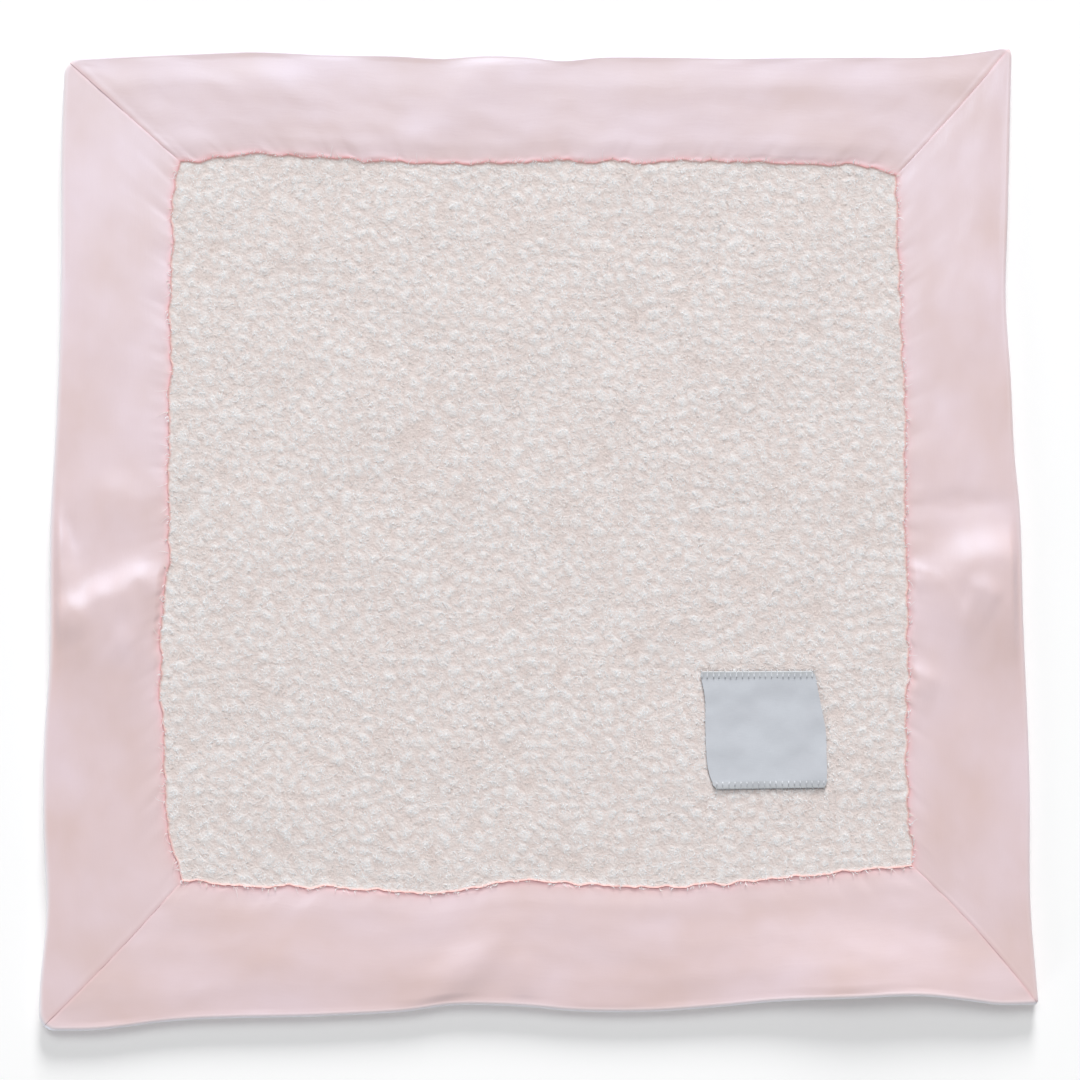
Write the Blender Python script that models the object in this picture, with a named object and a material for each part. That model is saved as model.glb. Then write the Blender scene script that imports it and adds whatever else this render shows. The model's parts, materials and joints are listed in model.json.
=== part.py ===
"""A comfort blanket: a square of sherpa fleece framed by four mitred satin strips, sewn to a plain
satin back with its edges turned in, and a bare woven label whipped on near the lower right corner.

It lies face up on the ground with its middle over the origin, +Y towards its top edge.
All lengths are in metres.
"""

import math

import bmesh
import bpy
from mathutils import Vector, geometry, noise

# The sewn blanket
SIDE = 0.4064  # finished width and height
BORDER = 0.0508  # satin strip, from the panel seam to the outer edge
SEAM_ALLOWANCE = 0.008  # cloth turned in past a seam
CORNER_RADIUS = 0.0035  # the turned corners never come out quite sharp
LAY_DRIFT = 0.007  # how far edges and seams stray from a true square as the cloth lies
MITRE_BOW = 0.002  # how far the most curved mitre bows off its chord
BOW_REACH = 0.03  # how far into a strip a mitre's bow is felt

# The cloths and the sewing thread
SATIN = 0.0005  # satin, woven
BACKING = 0.0012  # sherpa's knitted back, with the pile crushed flat on it
PILE = 0.0034  # standing pile above the backing
THREAD = 0.0004
GAP = 0.0003  # between faces that touch

# The border's puffed face and its seams
PUFF = 0.0013  # rise of the face over its two folded edges
PUFF_RISE = 0.009  # the width over which it rises
EDGE_FOLD = 0.00085  # radius of the fold at the outer edge
LIP = 0.0009  # mitre allowance turned down inside the crease
CREASE = 0.0011  # dip of the face along a mitre
CREASE_REACH = 0.004
CREASE_ROUND = 0.00035  # extra drop at the very edge of the crease
FOLD_HEIGHT = 0.0011  # the highest soft fold in the satin as it lies
FOLD_WIDTH = 0.012

# The back panel
BACK_RISE = 0.0005  # the back lifts this far off the ground at its edge
BACK_MARGIN = 0.016  # the width over which it lifts
TURNING_GAP = 0.09  # left open to turn the blanket, then slip stitched

# The sherpa panel
PILE_ROUND = 0.005  # the pile rolls down over this width to its seam
PILE_WAVE = 0.00045  # soft rise and fall of the pile
PILE_WAVE_LENGTH = 0.045

# The label
LABEL_WIDTH = 0.047
LABEL_HEIGHT = 0.048
LABEL_FROM_SIDE = 0.0338  # from the right panel seam
LABEL_FROM_FOOT = 0.0431  # from the lower panel seam
LABEL_CLOTH = 0.0004
LABEL_TURN = 0.005  # its upper and lower ends are folded under by this much
LABEL_SKEW = 0.003  # how far its corners were pulled out of square
LABEL_SAG = 0.0003
LABEL_SEAT = 0.0014  # how deep the pile is pressed under it
LABEL_SEAT_EDGE = 0.012
STITCH_PITCH = 0.00235
STITCH_IN = 0.0022  # reach of a whip stitch onto the label
STITCH_OUT = 0.0011  # and past its end, into the pile
# Where a whip stitch goes down into the pile, comes up over the label's end, turns on its face and
# goes back over the end, as shares of the pitch
WHIP_SHARES = (0.0, 0.2, 0.5, 0.8)

# Counts, and an angle
EVEN_STATIONS = 13  # evenly spaced along each side, beside one near each corner
OUTLINE_STEPS = 100  # along each side, to find the middle of the outline
FOLD_STEPS = 4  # facets round a fold
PILE_CELLS = 14  # cells of the pile's top across the panel
SEAT_STEPS = 4  # points along each side of the label's seat
LABEL_CELLS = 6
SHARP_ANGLE = math.radians(50)  # faces that meet at more than this show an edge

# The sides in clockwise order from the top. Each runs from its own corner to the next one.
SIDES = ("top", "right", "bottom", "left")
CORNERS = ("top_left", "top_right", "bottom_right", "bottom_left")
CORNER_SIGNS = ((-1, 1), (1, 1), (1, -1), (-1, -1))
OUTWARD = (Vector((0, 1)), Vector((1, 0)), Vector((0, -1)), Vector((-1, 0)))

# How the blanket lies: shares of LAY_DRIFT by which each corner strays, right and up
EDGE_CORNER_SHARES = ((0.0, -0.15), (0.1, 0.5), (0.3, 0.95), (0.0, -0.5))
SEAM_CORNER_SHARES = ((0.05, 0.5), (-0.05, -0.35), (0.2, 1.7), (0.85, 0.85))
# and, along each side, (share of its length, share of LAY_DRIFT outwards)
EDGE_SHARES = (
    ((0, 0), (0.17, 0.38), (0.36, 0), (0.5, -0.28), (0.7, -0.46), (0.87, -0.42), (1, 0)),
    ((0, 0), (0.13, -0.32), (0.27, -0.78), (0.44, -0.48), (0.55, -0.28), (0.78, -0.14), (0.92, -0.28),
     (1, 0)),
    ((0, 0), (0.11, -0.72), (0.27, -0.56), (0.39, -0.16), (0.47, -0.33), (0.56, -0.8), (0.65, -0.46),
     (0.8, -0.26), (0.95, 0.05), (1, 0)),
    ((0, 0), (0.12, -0.08), (0.28, 0.31), (0.38, 0.15), (0.52, 0.2), (0.65, 0.03), (0.82, -0.05), (1, 0)),
)
SEAM_SHARES = (
    ((0, 0), (0.12, 0.55), (0.22, 0.37), (0.4, 0.23), (0.55, 0.48), (0.8, 0.7), (0.94, 0.45), (1, 0)),
    ((0, 0), (0.2, 0.02), (0.38, 0.18), (0.6, 0.09), (0.86, -0.18), (1, 0)),
    ((0, 0), (0.08, 0.21), (0.27, 0.83), (0.38, 0.9), (0.51, 0.43), (0.66, 1.0), (0.8, 0.53),
     (0.92, 0.36), (1, 0)),
    ((0, 0), (0.05, 0.6), (0.16, 1.05), (0.27, 1.22), (0.36, 1.13), (0.45, 0.79), (0.68, 0.64),
     (0.93, 0.45), (1, 0)),
)
# Each mitre's bow: shares of MITRE_BOW, right and up
BOW_SHARES = ((0.0, 0.0), (0.28, -0.28), (0.7, 0.7), (0.32, -0.32))
# The satin's soft folds: where each starts and ends, as shares of the half side, and its share
# of FOLD_HEIGHT, with a hollow below zero
SATIN_FOLD_SHARES = (
    (-0.97, -0.14, -0.80, -0.05, 1.0),
    (-0.96, -0.02, -0.86, 0.06, -0.7),
    (-0.88, -0.75, -0.86, -0.30, 0.5),
    (0.80, 0.02, 0.98, -0.04, 1.0),
    (0.84, 0.12, 0.99, 0.06, -0.7),
    (0.86, -0.80, 0.90, -0.35, 0.5),
    (-0.30, 0.78, -0.10, 0.96, 0.7),
    (0.25, 0.82, 0.75, 0.84, 0.8),
    (-0.90, 0.88, -0.45, 0.93, 0.4),
    (-0.12, -0.92, 0.05, -0.76, 0.9),
    (0.40, -0.86, 0.85, -0.80, 0.7),
    (-0.75, -0.92, -0.35, -0.86, 0.5),
)
# Label corners pulled out of square: shares of LABEL_SKEW, right and up
LABEL_CORNER_SHARES = ((-0.87, 0.0), (-0.53, 0.1), (0.37, -0.23), (1.1, 0.2))
FACE_SHARES = (0.1, 0.24, 0.4, 0.58, 0.76, 0.9)  # rows of points across a strip's face
CORNER_STATION_SHARE = 0.035  # the station nearest each corner, as a share of the side
PILE_EDGE_SHARES = ((0.42, 0.9), (0.12, 0.6))  # the pile's rolled edge: of PILE_ROUND in, of PILE up

HALF = SIDE / 2
SEAM_HALF = HALF - BORDER

# Levels, from the ground up, each at the middle of its cloth
BACK_LEVEL = SATIN / 2
PANEL_BASE = SATIN + GAP
FLAP_TOP = PANEL_BASE + BACKING
PILE_TOP = FLAP_TOP + PILE
THREAD_FOLD = (THREAD + 2 * GAP + SATIN) / 2  # radius of a fold with a thread lying inside it
SEAM_ALLOWANCE_LEVEL = FLAP_TOP + GAP + SATIN / 2
SEAM_FACE_LEVEL = SEAM_ALLOWANCE_LEVEL + 2 * THREAD_FOLD
BACK_EDGE_LEVEL = BACK_LEVEL + BACK_RISE
BACK_ALLOWANCE_LEVEL = BACK_EDGE_LEVEL + 2 * THREAD_FOLD
EDGE_ALLOWANCE_LEVEL = BACK_ALLOWANCE_LEVEL + SATIN + GAP
EDGE_FACE_LEVEL = EDGE_ALLOWANCE_LEVEL + 2 * EDGE_FOLD
BESIDE_CLOTH = SATIN / 2 + GAP + THREAD / 2  # from the middle of a cloth to a thread lying on it
LABEL_FOLD = (LABEL_CLOTH + GAP) / 2
LABEL_UNDER = PILE_TOP - LABEL_SEAT + GAP + LABEL_CLOTH / 2
LABEL_FACE = LABEL_UNDER + 2 * LABEL_FOLD

# Where the folds' centres lie, from the seam outwards and from the edge inwards
SEAM_FOLD_CENTRE = GAP / 2 + SATIN / 2 + THREAD_FOLD
EDGE_FOLD_CENTRE = SATIN / 2 + EDGE_FOLD
BACK_FOLD_CENTRE = SATIN / 2 + THREAD_FOLD
# A seam thread lies past its fold, clear of the fold's inner side
THREAD_FROM_FOLD = THREAD + GAP
MITRE_CLEARANCE = SATIN / 2 + GAP / 2
MITRE_THREAD_OFFSET = MITRE_CLEARANCE + BESIDE_CLOTH + GAP / 2

SATIN_PINK = (0.84, 0.655, 0.67)
BACK_PINK = (0.82, 0.63, 0.645)
CREAM = (0.80, 0.755, 0.72)
THREAD_PINK = (0.78, 0.45, 0.43)
LABEL_GREY = (0.57, 0.60, 0.66)
THREAD_GREY = (0.60, 0.61, 0.63)


def clear_scene():
    for old in list(bpy.data.objects):
        bpy.data.objects.remove(old, do_unlink=True)


def material(name, colour, roughness):
    made = bpy.data.materials.new(name)
    made.use_nodes = True
    shader = made.node_tree.nodes["Principled BSDF"]
    shader.inputs["Base Color"].default_value = (*colour, 1)
    shader.inputs["Roughness"].default_value = roughness
    shader.inputs["Metallic"].default_value = 0
    return made


def smooth_curve(knots, at):
    """The height at share `at` of a smooth curve through the knots, level at both of its ends."""
    last = len(knots) - 1
    span = next((i for i in range(last) if at <= knots[i + 1][0]), last - 1)
    (x0, y0), (x1, y1) = knots[span], knots[span + 1]
    width = x1 - x0
    slopes = []
    for i in (span, span + 1):
        if i in (0, last):
            slopes.append(0)
        else:
            before, after = knots[i - 1], knots[i + 1]
            slopes.append((after[1] - before[1]) / (after[0] - before[0]))
    t = (at - x0) / width
    return (
        y0 * (2 * t**3 - 3 * t**2 + 1)
        + y1 * (3 * t**2 - 2 * t**3)
        + slopes[0] * width * (t**3 - 2 * t**2 + t)
        + slopes[1] * width * (t**3 - t**2)
    )


def ease(share):
    """0 to 1 with no corner at either end."""
    held = min(max(share, 0), 1)
    return held * held * (3 - 2 * held)


STATIONS = [0, CORNER_STATION_SHARE]
STATIONS += [(step + 1) / (EVEN_STATIONS + 1) for step in range(EVEN_STATIONS)]
STATIONS += [1 - CORNER_STATION_SHARE, 1]


def side_drift(knots, share):
    """How far a side strays outwards: straight between its stations, so that pieces laid along
    the same side meet all along it, whatever points each one has."""
    held = min(max(share, 0), 1)
    span = next(i for i in range(len(STATIONS) - 1) if held <= STATIONS[i + 1])
    before, after = STATIONS[span], STATIONS[span + 1]
    part = (held - before) / (after - before)
    return LAY_DRIFT * (smooth_curve(knots, before) * (1 - part) + smooth_curve(knots, after) * part)


def corner(half, shares, number):
    signs = CORNER_SIGNS[number % 4]
    stray = shares[number % 4]
    return Vector((signs[0] * half + stray[0] * LAY_DRIFT, signs[1] * half + stray[1] * LAY_DRIFT))


def raw_edge(side, distance, share):
    """The outer edge, with its rounded corners, at a distance plus a share of the side's length."""
    start = corner(HALF, EDGE_CORNER_SHARES, side)
    run = corner(HALF, EDGE_CORNER_SHARES, side + 1) - start
    length = run.length
    diagonal = CORNER_RADIUS * (1 - math.sqrt(0.5))
    along = diagonal + distance + share * (length - 2 * diagonal)
    from_corner = min(along, length - along)
    past_arc = max(CORNER_RADIUS - from_corner, 0)
    rounding = CORNER_RADIUS - math.sqrt(CORNER_RADIUS**2 - past_arc**2)
    drift = side_drift(EDGE_SHARES[side], along / length)
    return start + run * (along / length) + OUTWARD[side] * (drift - rounding)


def raw_seam(side, distance, share):
    """The panel seam at a distance plus a share of the side's length."""
    start = corner(SEAM_HALF, SEAM_CORNER_SHARES, side)
    run = corner(SEAM_HALF, SEAM_CORNER_SHARES, side + 1) - start
    at = distance / run.length + share
    return start + run * at + OUTWARD[side] * side_drift(SEAM_SHARES[side], at)


def lying_centre():
    """The middle of the outline as it lies, which goes over the origin."""
    steps = [(side, step / OUTLINE_STEPS) for side in range(4) for step in range(OUTLINE_STEPS)]
    outline = [raw_edge(side, 0, share) for side, share in steps]
    low = Vector((min(point.x for point in outline), min(point.y for point in outline)))
    high = Vector((max(point.x for point in outline), max(point.y for point in outline)))
    return (low + high) / 2


CENTRE = lying_centre()


class Row:
    """One line across a side, from the panel seam to the outer edge."""

    def __init__(self, side, distance, share):
        self.side = side
        self.seam = raw_seam(side, distance, share) - CENTRE
        self.edge = raw_edge(side, distance, share) - CENTRE
        across = self.edge - self.seam
        self.width = across.dot(OUTWARD[side])
        self.outward = across / self.width
        length = (raw_seam(side, 0, 1) - raw_seam(side, 0, 0)).length
        from_start = distance + share * length
        self.mitre, self.from_mitre = side, from_start
        if length - from_start < from_start:
            self.mitre, self.from_mitre = (side + 1) % 4, length - from_start

    def slant(self):
        """The distance between two such rows, square to them, for each unit along the side."""
        along = Vector((-OUTWARD[self.side].y, OUTWARD[self.side].x))
        return abs(along.cross(self.outward.normalized()))

    def bow(self, out):
        """How far the nearer mitre's bow carries the row aside, this far out from the seam."""
        reach = max(1 - self.from_mitre / BOW_REACH, 0)
        arch = math.sin(math.pi * min(max(out / self.width, 0), 1))
        return Vector(BOW_SHARES[self.mitre]) * (MITRE_BOW * reach * arch)

    def from_seam(self, out):
        return self.seam + self.outward * out + self.bow(out)

    def from_edge(self, inset):
        return self.edge - self.outward * inset + self.bow(self.width - inset)


def mitre_step(side, end):
    """The distance along a side for each unit square to the mitre at that end, 0 or 1."""
    return 1 / Row(side, 0, end).slant()


def satin_fold(point):
    """The height of the soft folds at a point of the face."""
    height = 0
    for x0, y0, x1, y1, share in SATIN_FOLD_SHARES:
        start, end = Vector((x0, y0)) * HALF, Vector((x1, y1)) * HALF
        run = end - start
        at = min(max((point - start).dot(run) / run.length_squared, 0), 1)
        away = (point - start - run * at).length / FOLD_WIDTH
        height += share * FOLD_HEIGHT * math.exp(-away * away)
    return height


def face_level(row, out):
    """The level of the middle of the satin's face, out from the panel seam."""
    near_fold = min(out - SEAM_FOLD_CENTRE, row.width - out - EDGE_FOLD_CENTRE)
    rise = ease(near_fold / PUFF_RISE)
    crease = CREASE * math.exp(-((row.from_mitre * row.slant() / CREASE_REACH) ** 2))
    base = SEAM_FACE_LEVEL + (EDGE_FACE_LEVEL - SEAM_FACE_LEVEL) * out / row.width
    return base + rise * (PUFF - crease + satin_fold(row.from_seam(out)))


def arc(centre, level, radius, lower_first):
    """The turn of a folded cloth: (distance, level) from its lower cloth to its upper, or back."""
    turn = []
    for step in range(FOLD_STEPS + 1):
        angle = math.pi * (step / FOLD_STEPS - 0.5)
        turn.append((centre - radius * math.cos(angle), level + radius * math.sin(angle)))
    return turn if lower_first else turn[::-1]


def sheet_object(name, vertices, faces, thickness, finish):
    """A closed cloth: the sheet through these points, given its thickness."""
    mesh = bpy.data.meshes.new(name)
    mesh.from_pydata([tuple(v) for v in vertices], [], faces)
    mesh.materials.append(finish)
    mesh.shade_smooth()
    made = bpy.data.objects.new(name, mesh)
    bpy.context.scene.collection.objects.link(made)
    solid = made.modifiers.new("cloth", "SOLIDIFY")
    solid.thickness = thickness
    solid.offset = 0
    solid.use_even_offset = True
    solid.use_rim = True
    return made


def thread_object(name, points, finish):
    curve = bpy.data.curves.new(name, "CURVE")
    curve.dimensions = "3D"
    curve.bevel_depth = THREAD / 2
    curve.bevel_resolution = 0
    curve.use_fill_caps = True
    run = curve.splines.new("POLY")
    run.points.add(len(points) - 1)
    for place, point in zip(run.points, points):
        place.co = (*point, 1)
    curve.materials.append(finish)
    made = bpy.data.objects.new(name, curve)
    bpy.context.scene.collection.objects.link(made)
    return made


def grid_faces(rows, columns, first=0):
    """Quads over a grid of points that were listed row by row."""
    return [
        (first + r * columns + c, first + r * columns + c + 1, first + (r + 1) * columns + c + 1,
         first + (r + 1) * columns + c)
        for r in range(rows - 1)
        for c in range(columns - 1)
    ]


def strip_rows(side):
    """Rows along a strip: two close to each mitre, and the stations between them."""
    near = [MITRE_CLEARANCE, MITRE_THREAD_OFFSET]
    first, last = mitre_step(side, 0), mitre_step(side, 1)
    rows = [Row(side, away * first, 0) for away in near]
    rows += [Row(side, 0, share) for share in STATIONS[1:-1]]
    return rows + [Row(side, -away * last, 1) for away in reversed(near)]


def strip_section(row):
    """Points across a strip from the end of one allowance to the end of the other."""
    section = [(row.from_seam(SEAM_ALLOWANCE), SEAM_ALLOWANCE_LEVEL)]
    turn = arc(SEAM_FOLD_CENTRE, SEAM_ALLOWANCE_LEVEL + THREAD_FOLD, THREAD_FOLD, True)
    section += [(row.from_seam(out), level) for out, level in turn]
    span = row.width - SEAM_FOLD_CENTRE - EDGE_FOLD_CENTRE
    for share in FACE_SHARES:
        out = SEAM_FOLD_CENTRE + share * span
        section.append((row.from_seam(out), face_level(row, out)))
    turn = arc(EDGE_FOLD_CENTRE, EDGE_ALLOWANCE_LEVEL + EDGE_FOLD, EDGE_FOLD, False)
    section += [(row.from_edge(inset), level) for inset, level in turn]
    section.append((row.from_edge(SEAM_ALLOWANCE), EDGE_ALLOWANCE_LEVEL))
    return [Vector((*place, level)) for place, level in section]


def border_strip(side, finish):
    sections = [strip_section(row) for row in strip_rows(side)]
    columns = len(sections[0])
    face_first = 1 + FOLD_STEPS
    face_last = face_first + len(FACE_SHARES) + 1
    inner = range(face_first + 1, face_last)
    for end in (0, -1):
        for column in inner:
            sections[end][column].z -= CREASE_ROUND
    vertices = [point for section in sections for point in section]
    faces = grid_faces(len(sections), columns)
    for end in (0, len(sections) - 1):
        first = len(vertices)
        lip = [sections[end][column] - Vector((0, 0, LIP)) for column in range(face_first, face_last + 1)]
        vertices += lip
        for step in range(len(lip) - 1):
            above = end * columns + face_first + step
            quad = (above, above + 1, first + step + 1, first + step)
            faces.append(quad[::-1] if end == 0 else quad)
    return sheet_object("border_" + SIDES[side], vertices, [face[::-1] for face in faces], SATIN, finish)


def ring_rows():
    """Rows all round the blanket, with one on each mitre and one where each corner's arc ends."""
    past_arc = CORNER_RADIUS * math.sqrt(0.5)
    rows = []
    for side in range(4):
        rows += [Row(side, 0, 0), Row(side, past_arc, 0)]
        rows += [Row(side, 0, share) for share in STATIONS[1:-1]]
        rows.append(Row(side, -past_arc, 1))
    return rows


def ring_faces(rows, columns):
    """Quads round a ring of sections, the last joined to the first."""
    return [
        (first * columns + c, first * columns + c + 1, second * columns + c + 1, second * columns + c)
        for first, second in zip(range(rows), [*range(1, rows), 0])
        for c in range(columns - 1)
    ]


def back_panel(finish):
    rows = ring_rows()
    vertices = []
    turn = arc(BACK_FOLD_CENTRE, BACK_EDGE_LEVEL + THREAD_FOLD, THREAD_FOLD, False)
    profile = [(SEAM_ALLOWANCE, BACK_ALLOWANCE_LEVEL)] + turn
    profile += [(BACK_MARGIN / 2, BACK_LEVEL + BACK_RISE * ease(0.5)), (BACK_MARGIN, BACK_LEVEL)]
    for row in rows:
        vertices += [Vector((*row.from_edge(inset), level)) for inset, level in profile]
    columns = len(profile)
    faces = ring_faces(len(rows), columns)
    middle = tuple(r * columns + columns - 1 for r in range(len(rows)))
    faces.append(middle[::-1])
    return sheet_object("back_panel", vertices, [face[::-1] for face in faces], SATIN, finish)


def label_frame():
    """The label's middle, as it lies on the panel."""
    right = SEAM_HALF - LABEL_FROM_SIDE - LABEL_WIDTH / 2
    foot = -SEAM_HALF + LABEL_FROM_FOOT + LABEL_HEIGHT / 2
    return Vector((right, foot)) - CENTRE


def pile_level(point):
    """The level of the top of the pile, pressed down under the label."""
    away = point - label_frame()
    beyond = max(abs(away.x) - LABEL_WIDTH / 2, abs(away.y) - LABEL_HEIGHT / 2)
    free = ease((beyond - STITCH_OUT - LABEL_SKEW) / LABEL_SEAT_EDGE)
    wave = noise.noise(Vector((point.x, point.y, 0)) / PILE_WAVE_LENGTH)
    return PILE_TOP - LABEL_SEAT * (1 - free) + PILE_WAVE * wave * free


def seat_loop(margin):
    """Points round the label, this far outside it."""
    half = Vector((LABEL_WIDTH / 2 + margin, LABEL_HEIGHT / 2 + margin))
    corners = [label_frame() + Vector((x * half.x, y * half.y)) for x, y in CORNER_SIGNS]
    loop = []
    for number in range(4):
        start, end = corners[number], corners[(number + 1) % 4]
        loop += [start.lerp(end, step / SEAT_STEPS) for step in range(SEAT_STEPS)]
    return loop


def pile_lattice(edge, seat):
    """Points over the panel's top, clear of its edge and of the label's seat."""
    cell = 2 * SEAM_HALF / PILE_CELLS
    low = Vector((min(p.x for p in seat), min(p.y for p in seat))) - Vector((cell, cell)) / 2
    high = Vector((max(p.x for p in seat), max(p.y for p in seat))) + Vector((cell, cell)) / 2
    points = []
    for r in range(1, PILE_CELLS):
        for c in range(1, PILE_CELLS):
            place = Vector((c * cell - SEAM_HALF, r * cell - SEAM_HALF)) - CENTRE
            on_seat = low.x < place.x < high.x and low.y < place.y < high.y
            if not on_seat and min((place - other).length for other in edge) > cell / 2:
                points.append(place)
    return points


def sherpa_panel(finish):
    """The pile's top, a ring that rolls down to the seam and runs out as the allowance, and a flat foot."""
    rows = [Row(side, 0, share) for side in range(4) for share in STATIONS[:-1]]
    edge = [row.from_seam(-PILE_ROUND) for row in rows]
    seat_edge = seat_loop(STITCH_OUT + LABEL_SKEW + LABEL_SEAT_EDGE)
    loops = [edge, seat_loop(STITCH_OUT + LABEL_SKEW), seat_edge]
    same_point = GAP / 10
    places, links = [], []
    for loop in loops:
        first = len(places)
        links += [(first + i, first + (i + 1) % len(loop)) for i in range(len(loop))]
        places += loop
    places += pile_lattice(edge, seat_edge)
    inside_the_loops = 1
    found = geometry.delaunay_2d_cdt(places, links, [], inside_the_loops, same_point)
    mesh = bmesh.new()
    tops = [mesh.verts.new((*place, pile_level(place))) for place in found[0]]
    for face in found[2]:
        mesh.faces.new([tops[i] for i in face])
    found_at = {source: i for i, sources in enumerate(found[3]) for source in sources}
    ring = [tops[found_at[i]] for i in range(len(edge))]
    profile = [(-PILE_ROUND * inset, FLAP_TOP + stand * PILE) for inset, stand in PILE_EDGE_SHARES]
    profile += [(-GAP / 2, SEAM_FACE_LEVEL), (-GAP / 2, FLAP_TOP)]
    profile += [(SEAM_ALLOWANCE, FLAP_TOP), (SEAM_ALLOWANCE, PANEL_BASE)]
    for out, level in profile:
        turned = [mesh.verts.new((*row.from_seam(out), level)) for row in rows]
        bridge(mesh, ring, turned)
        ring = turned
    mesh.faces.new(ring)
    bmesh.ops.recalc_face_normals(mesh, faces=mesh.faces)
    data = bpy.data.meshes.new("sherpa_panel")
    mesh.to_mesh(data)
    mesh.free()
    data.materials.append(finish)
    data.shade_smooth()
    data.set_sharp_from_angle(angle=SHARP_ANGLE)
    made = bpy.data.objects.new("sherpa_panel", data)
    bpy.context.scene.collection.objects.link(made)
    return made


def bridge(mesh, first, second):
    """Quads between two rings of points with the same count."""
    for i in range(len(first)):
        j = (i + 1) % len(first)
        mesh.faces.new((first[i], first[j], second[j], second[i]))


def label_point(across, down):
    """A point of the label from its shares across and down, between its four pulled corners."""
    corners = []
    for signs, stray in zip(CORNER_SIGNS, LABEL_CORNER_SHARES):
        half = Vector((signs[0] * LABEL_WIDTH / 2, signs[1] * LABEL_HEIGHT / 2))
        corners.append(label_frame() + half + Vector(stray) * LABEL_SKEW)
    upper = corners[0].lerp(corners[1], across)
    lower = corners[3].lerp(corners[2], across)
    return upper.lerp(lower, down)


def label(finish):
    """The label's face with both ends folded under, sagging a little between them."""
    centre = LABEL_CLOTH / 2 + LABEL_FOLD
    upper = [(LABEL_TURN, LABEL_UNDER)] + arc(centre, LABEL_UNDER + LABEL_FOLD, LABEL_FOLD, True)
    ends = [(distance / LABEL_HEIGHT, level) for distance, level in upper]
    face = []
    for step in range(1, LABEL_CELLS):
        down = step / LABEL_CELLS
        face.append((down, LABEL_FACE - LABEL_SAG * math.sin(math.pi * down)))
    section = ends + face + [(1 - down, level) for down, level in reversed(ends)]
    vertices = []
    for c in range(LABEL_CELLS + 1):
        for down, level in section:
            vertices.append(Vector((*label_point(c / LABEL_CELLS, down), level)))
    faces = grid_faces(LABEL_CELLS + 1, len(section))
    return sheet_object("label", vertices, [face[::-1] for face in faces], LABEL_CLOTH, finish)


def label_stitches(name, lower, finish):
    """One thread whipped over an end of the label, down into the pile and back onto its face."""
    on_face = LABEL_FACE + LABEL_CLOTH / 2 + GAP + THREAD / 2
    in_pile = PILE_TOP - LABEL_SEAT + GAP + THREAD / 2
    over_end = THREAD / 2 + GAP
    count = round((LABEL_WIDTH - STITCH_PITCH) / STITCH_PITCH)
    turns = ((-STITCH_OUT, in_pile), (-over_end, on_face), (STITCH_IN, on_face), (-over_end, on_face))
    points = []
    for number in range(count):
        for (reach, level), share in zip(turns, WHIP_SHARES):
            across = (number + 0.5 + share) * STITCH_PITCH / LABEL_WIDTH
            down = reach / LABEL_HEIGHT
            points.append((*label_point(across, 1 - down if lower else down), level))
    return thread_object(name, points, finish)


def panel_seam(side, finish):
    """The thread that holds one side of the panel, lying on the strip's turned-in allowance."""
    out = SEAM_FOLD_CENTRE + THREAD_FROM_FOLD
    level = SEAM_ALLOWANCE_LEVEL + BESIDE_CLOTH
    rows = [Row(side, 0, share) for share in STATIONS[1:-1]]
    points = [(*row.from_seam(out), level) for row in rows]
    return thread_object("panel_seam_" + SIDES[side], points, finish)


def mitre_seam(number, finish):
    """The thread of one mitre, lying under the face of the strip that starts there, beside its lip."""
    row = Row(number, MITRE_THREAD_OFFSET * mitre_step(number, 0), 0)
    span = row.width - SEAM_FOLD_CENTRE - EDGE_FOLD_CENTRE
    points = []
    for share in FACE_SHARES:
        out = SEAM_FOLD_CENTRE + share * span
        points.append((*row.from_seam(out), face_level(row, out) - BESIDE_CLOTH - GAP / 2))
    return thread_object("mitre_seam_" + CORNERS[number], points, finish)


def turning_gap():
    """Where the turning gap starts and ends, as shares of the bottom edge."""
    reach = TURNING_GAP / SIDE / 2
    return 0.5 - reach, 0.5 + reach


def edge_seam(finish):
    """One thread right round the outer seam, from one end of the turning gap to the other, lying
    inside the back panel's fold."""
    inset = BACK_FOLD_CENTRE + THREAD_FROM_FOLD
    level = BACK_ALLOWANCE_LEVEL - BESIDE_CLOTH
    start, end = turning_gap()
    rows = [Row(2, 0, share) for share in [end] + [s for s in STATIONS[:-1] if s > end]]
    rows += [Row(side, 0, share) for side in (3, 0, 1) for share in STATIONS[:-1]]
    rows += [Row(2, 0, share) for share in [s for s in STATIONS if s < start] + [start]]
    return thread_object("edge_seam_thread", [(*row.from_edge(inset), level) for row in rows], finish)


def closing_thread(finish):
    """The slip stitches that close the turning gap, lying in the groove between the two folds."""
    level = (BACK_ALLOWANCE_LEVEL + EDGE_ALLOWANCE_LEVEL) / 2
    insets = []
    for centre, radius, middle in (
        (BACK_FOLD_CENTRE, THREAD_FOLD, BACK_EDGE_LEVEL + THREAD_FOLD),
        (EDGE_FOLD_CENTRE, EDGE_FOLD, EDGE_ALLOWANCE_LEVEL + EDGE_FOLD),
    ):
        reach = radius + BESIDE_CLOTH
        insets.append(centre - math.sqrt(max(reach**2 - (level - middle) ** 2, 0)))
    start, end = turning_gap()
    shares = [start] + [share for share in STATIONS if start < share < end] + [end]
    rows = [Row(2, 0, share) for share in shares]
    return thread_object("closing_thread", [(*row.from_edge(min(insets)), level) for row in rows], finish)


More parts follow.
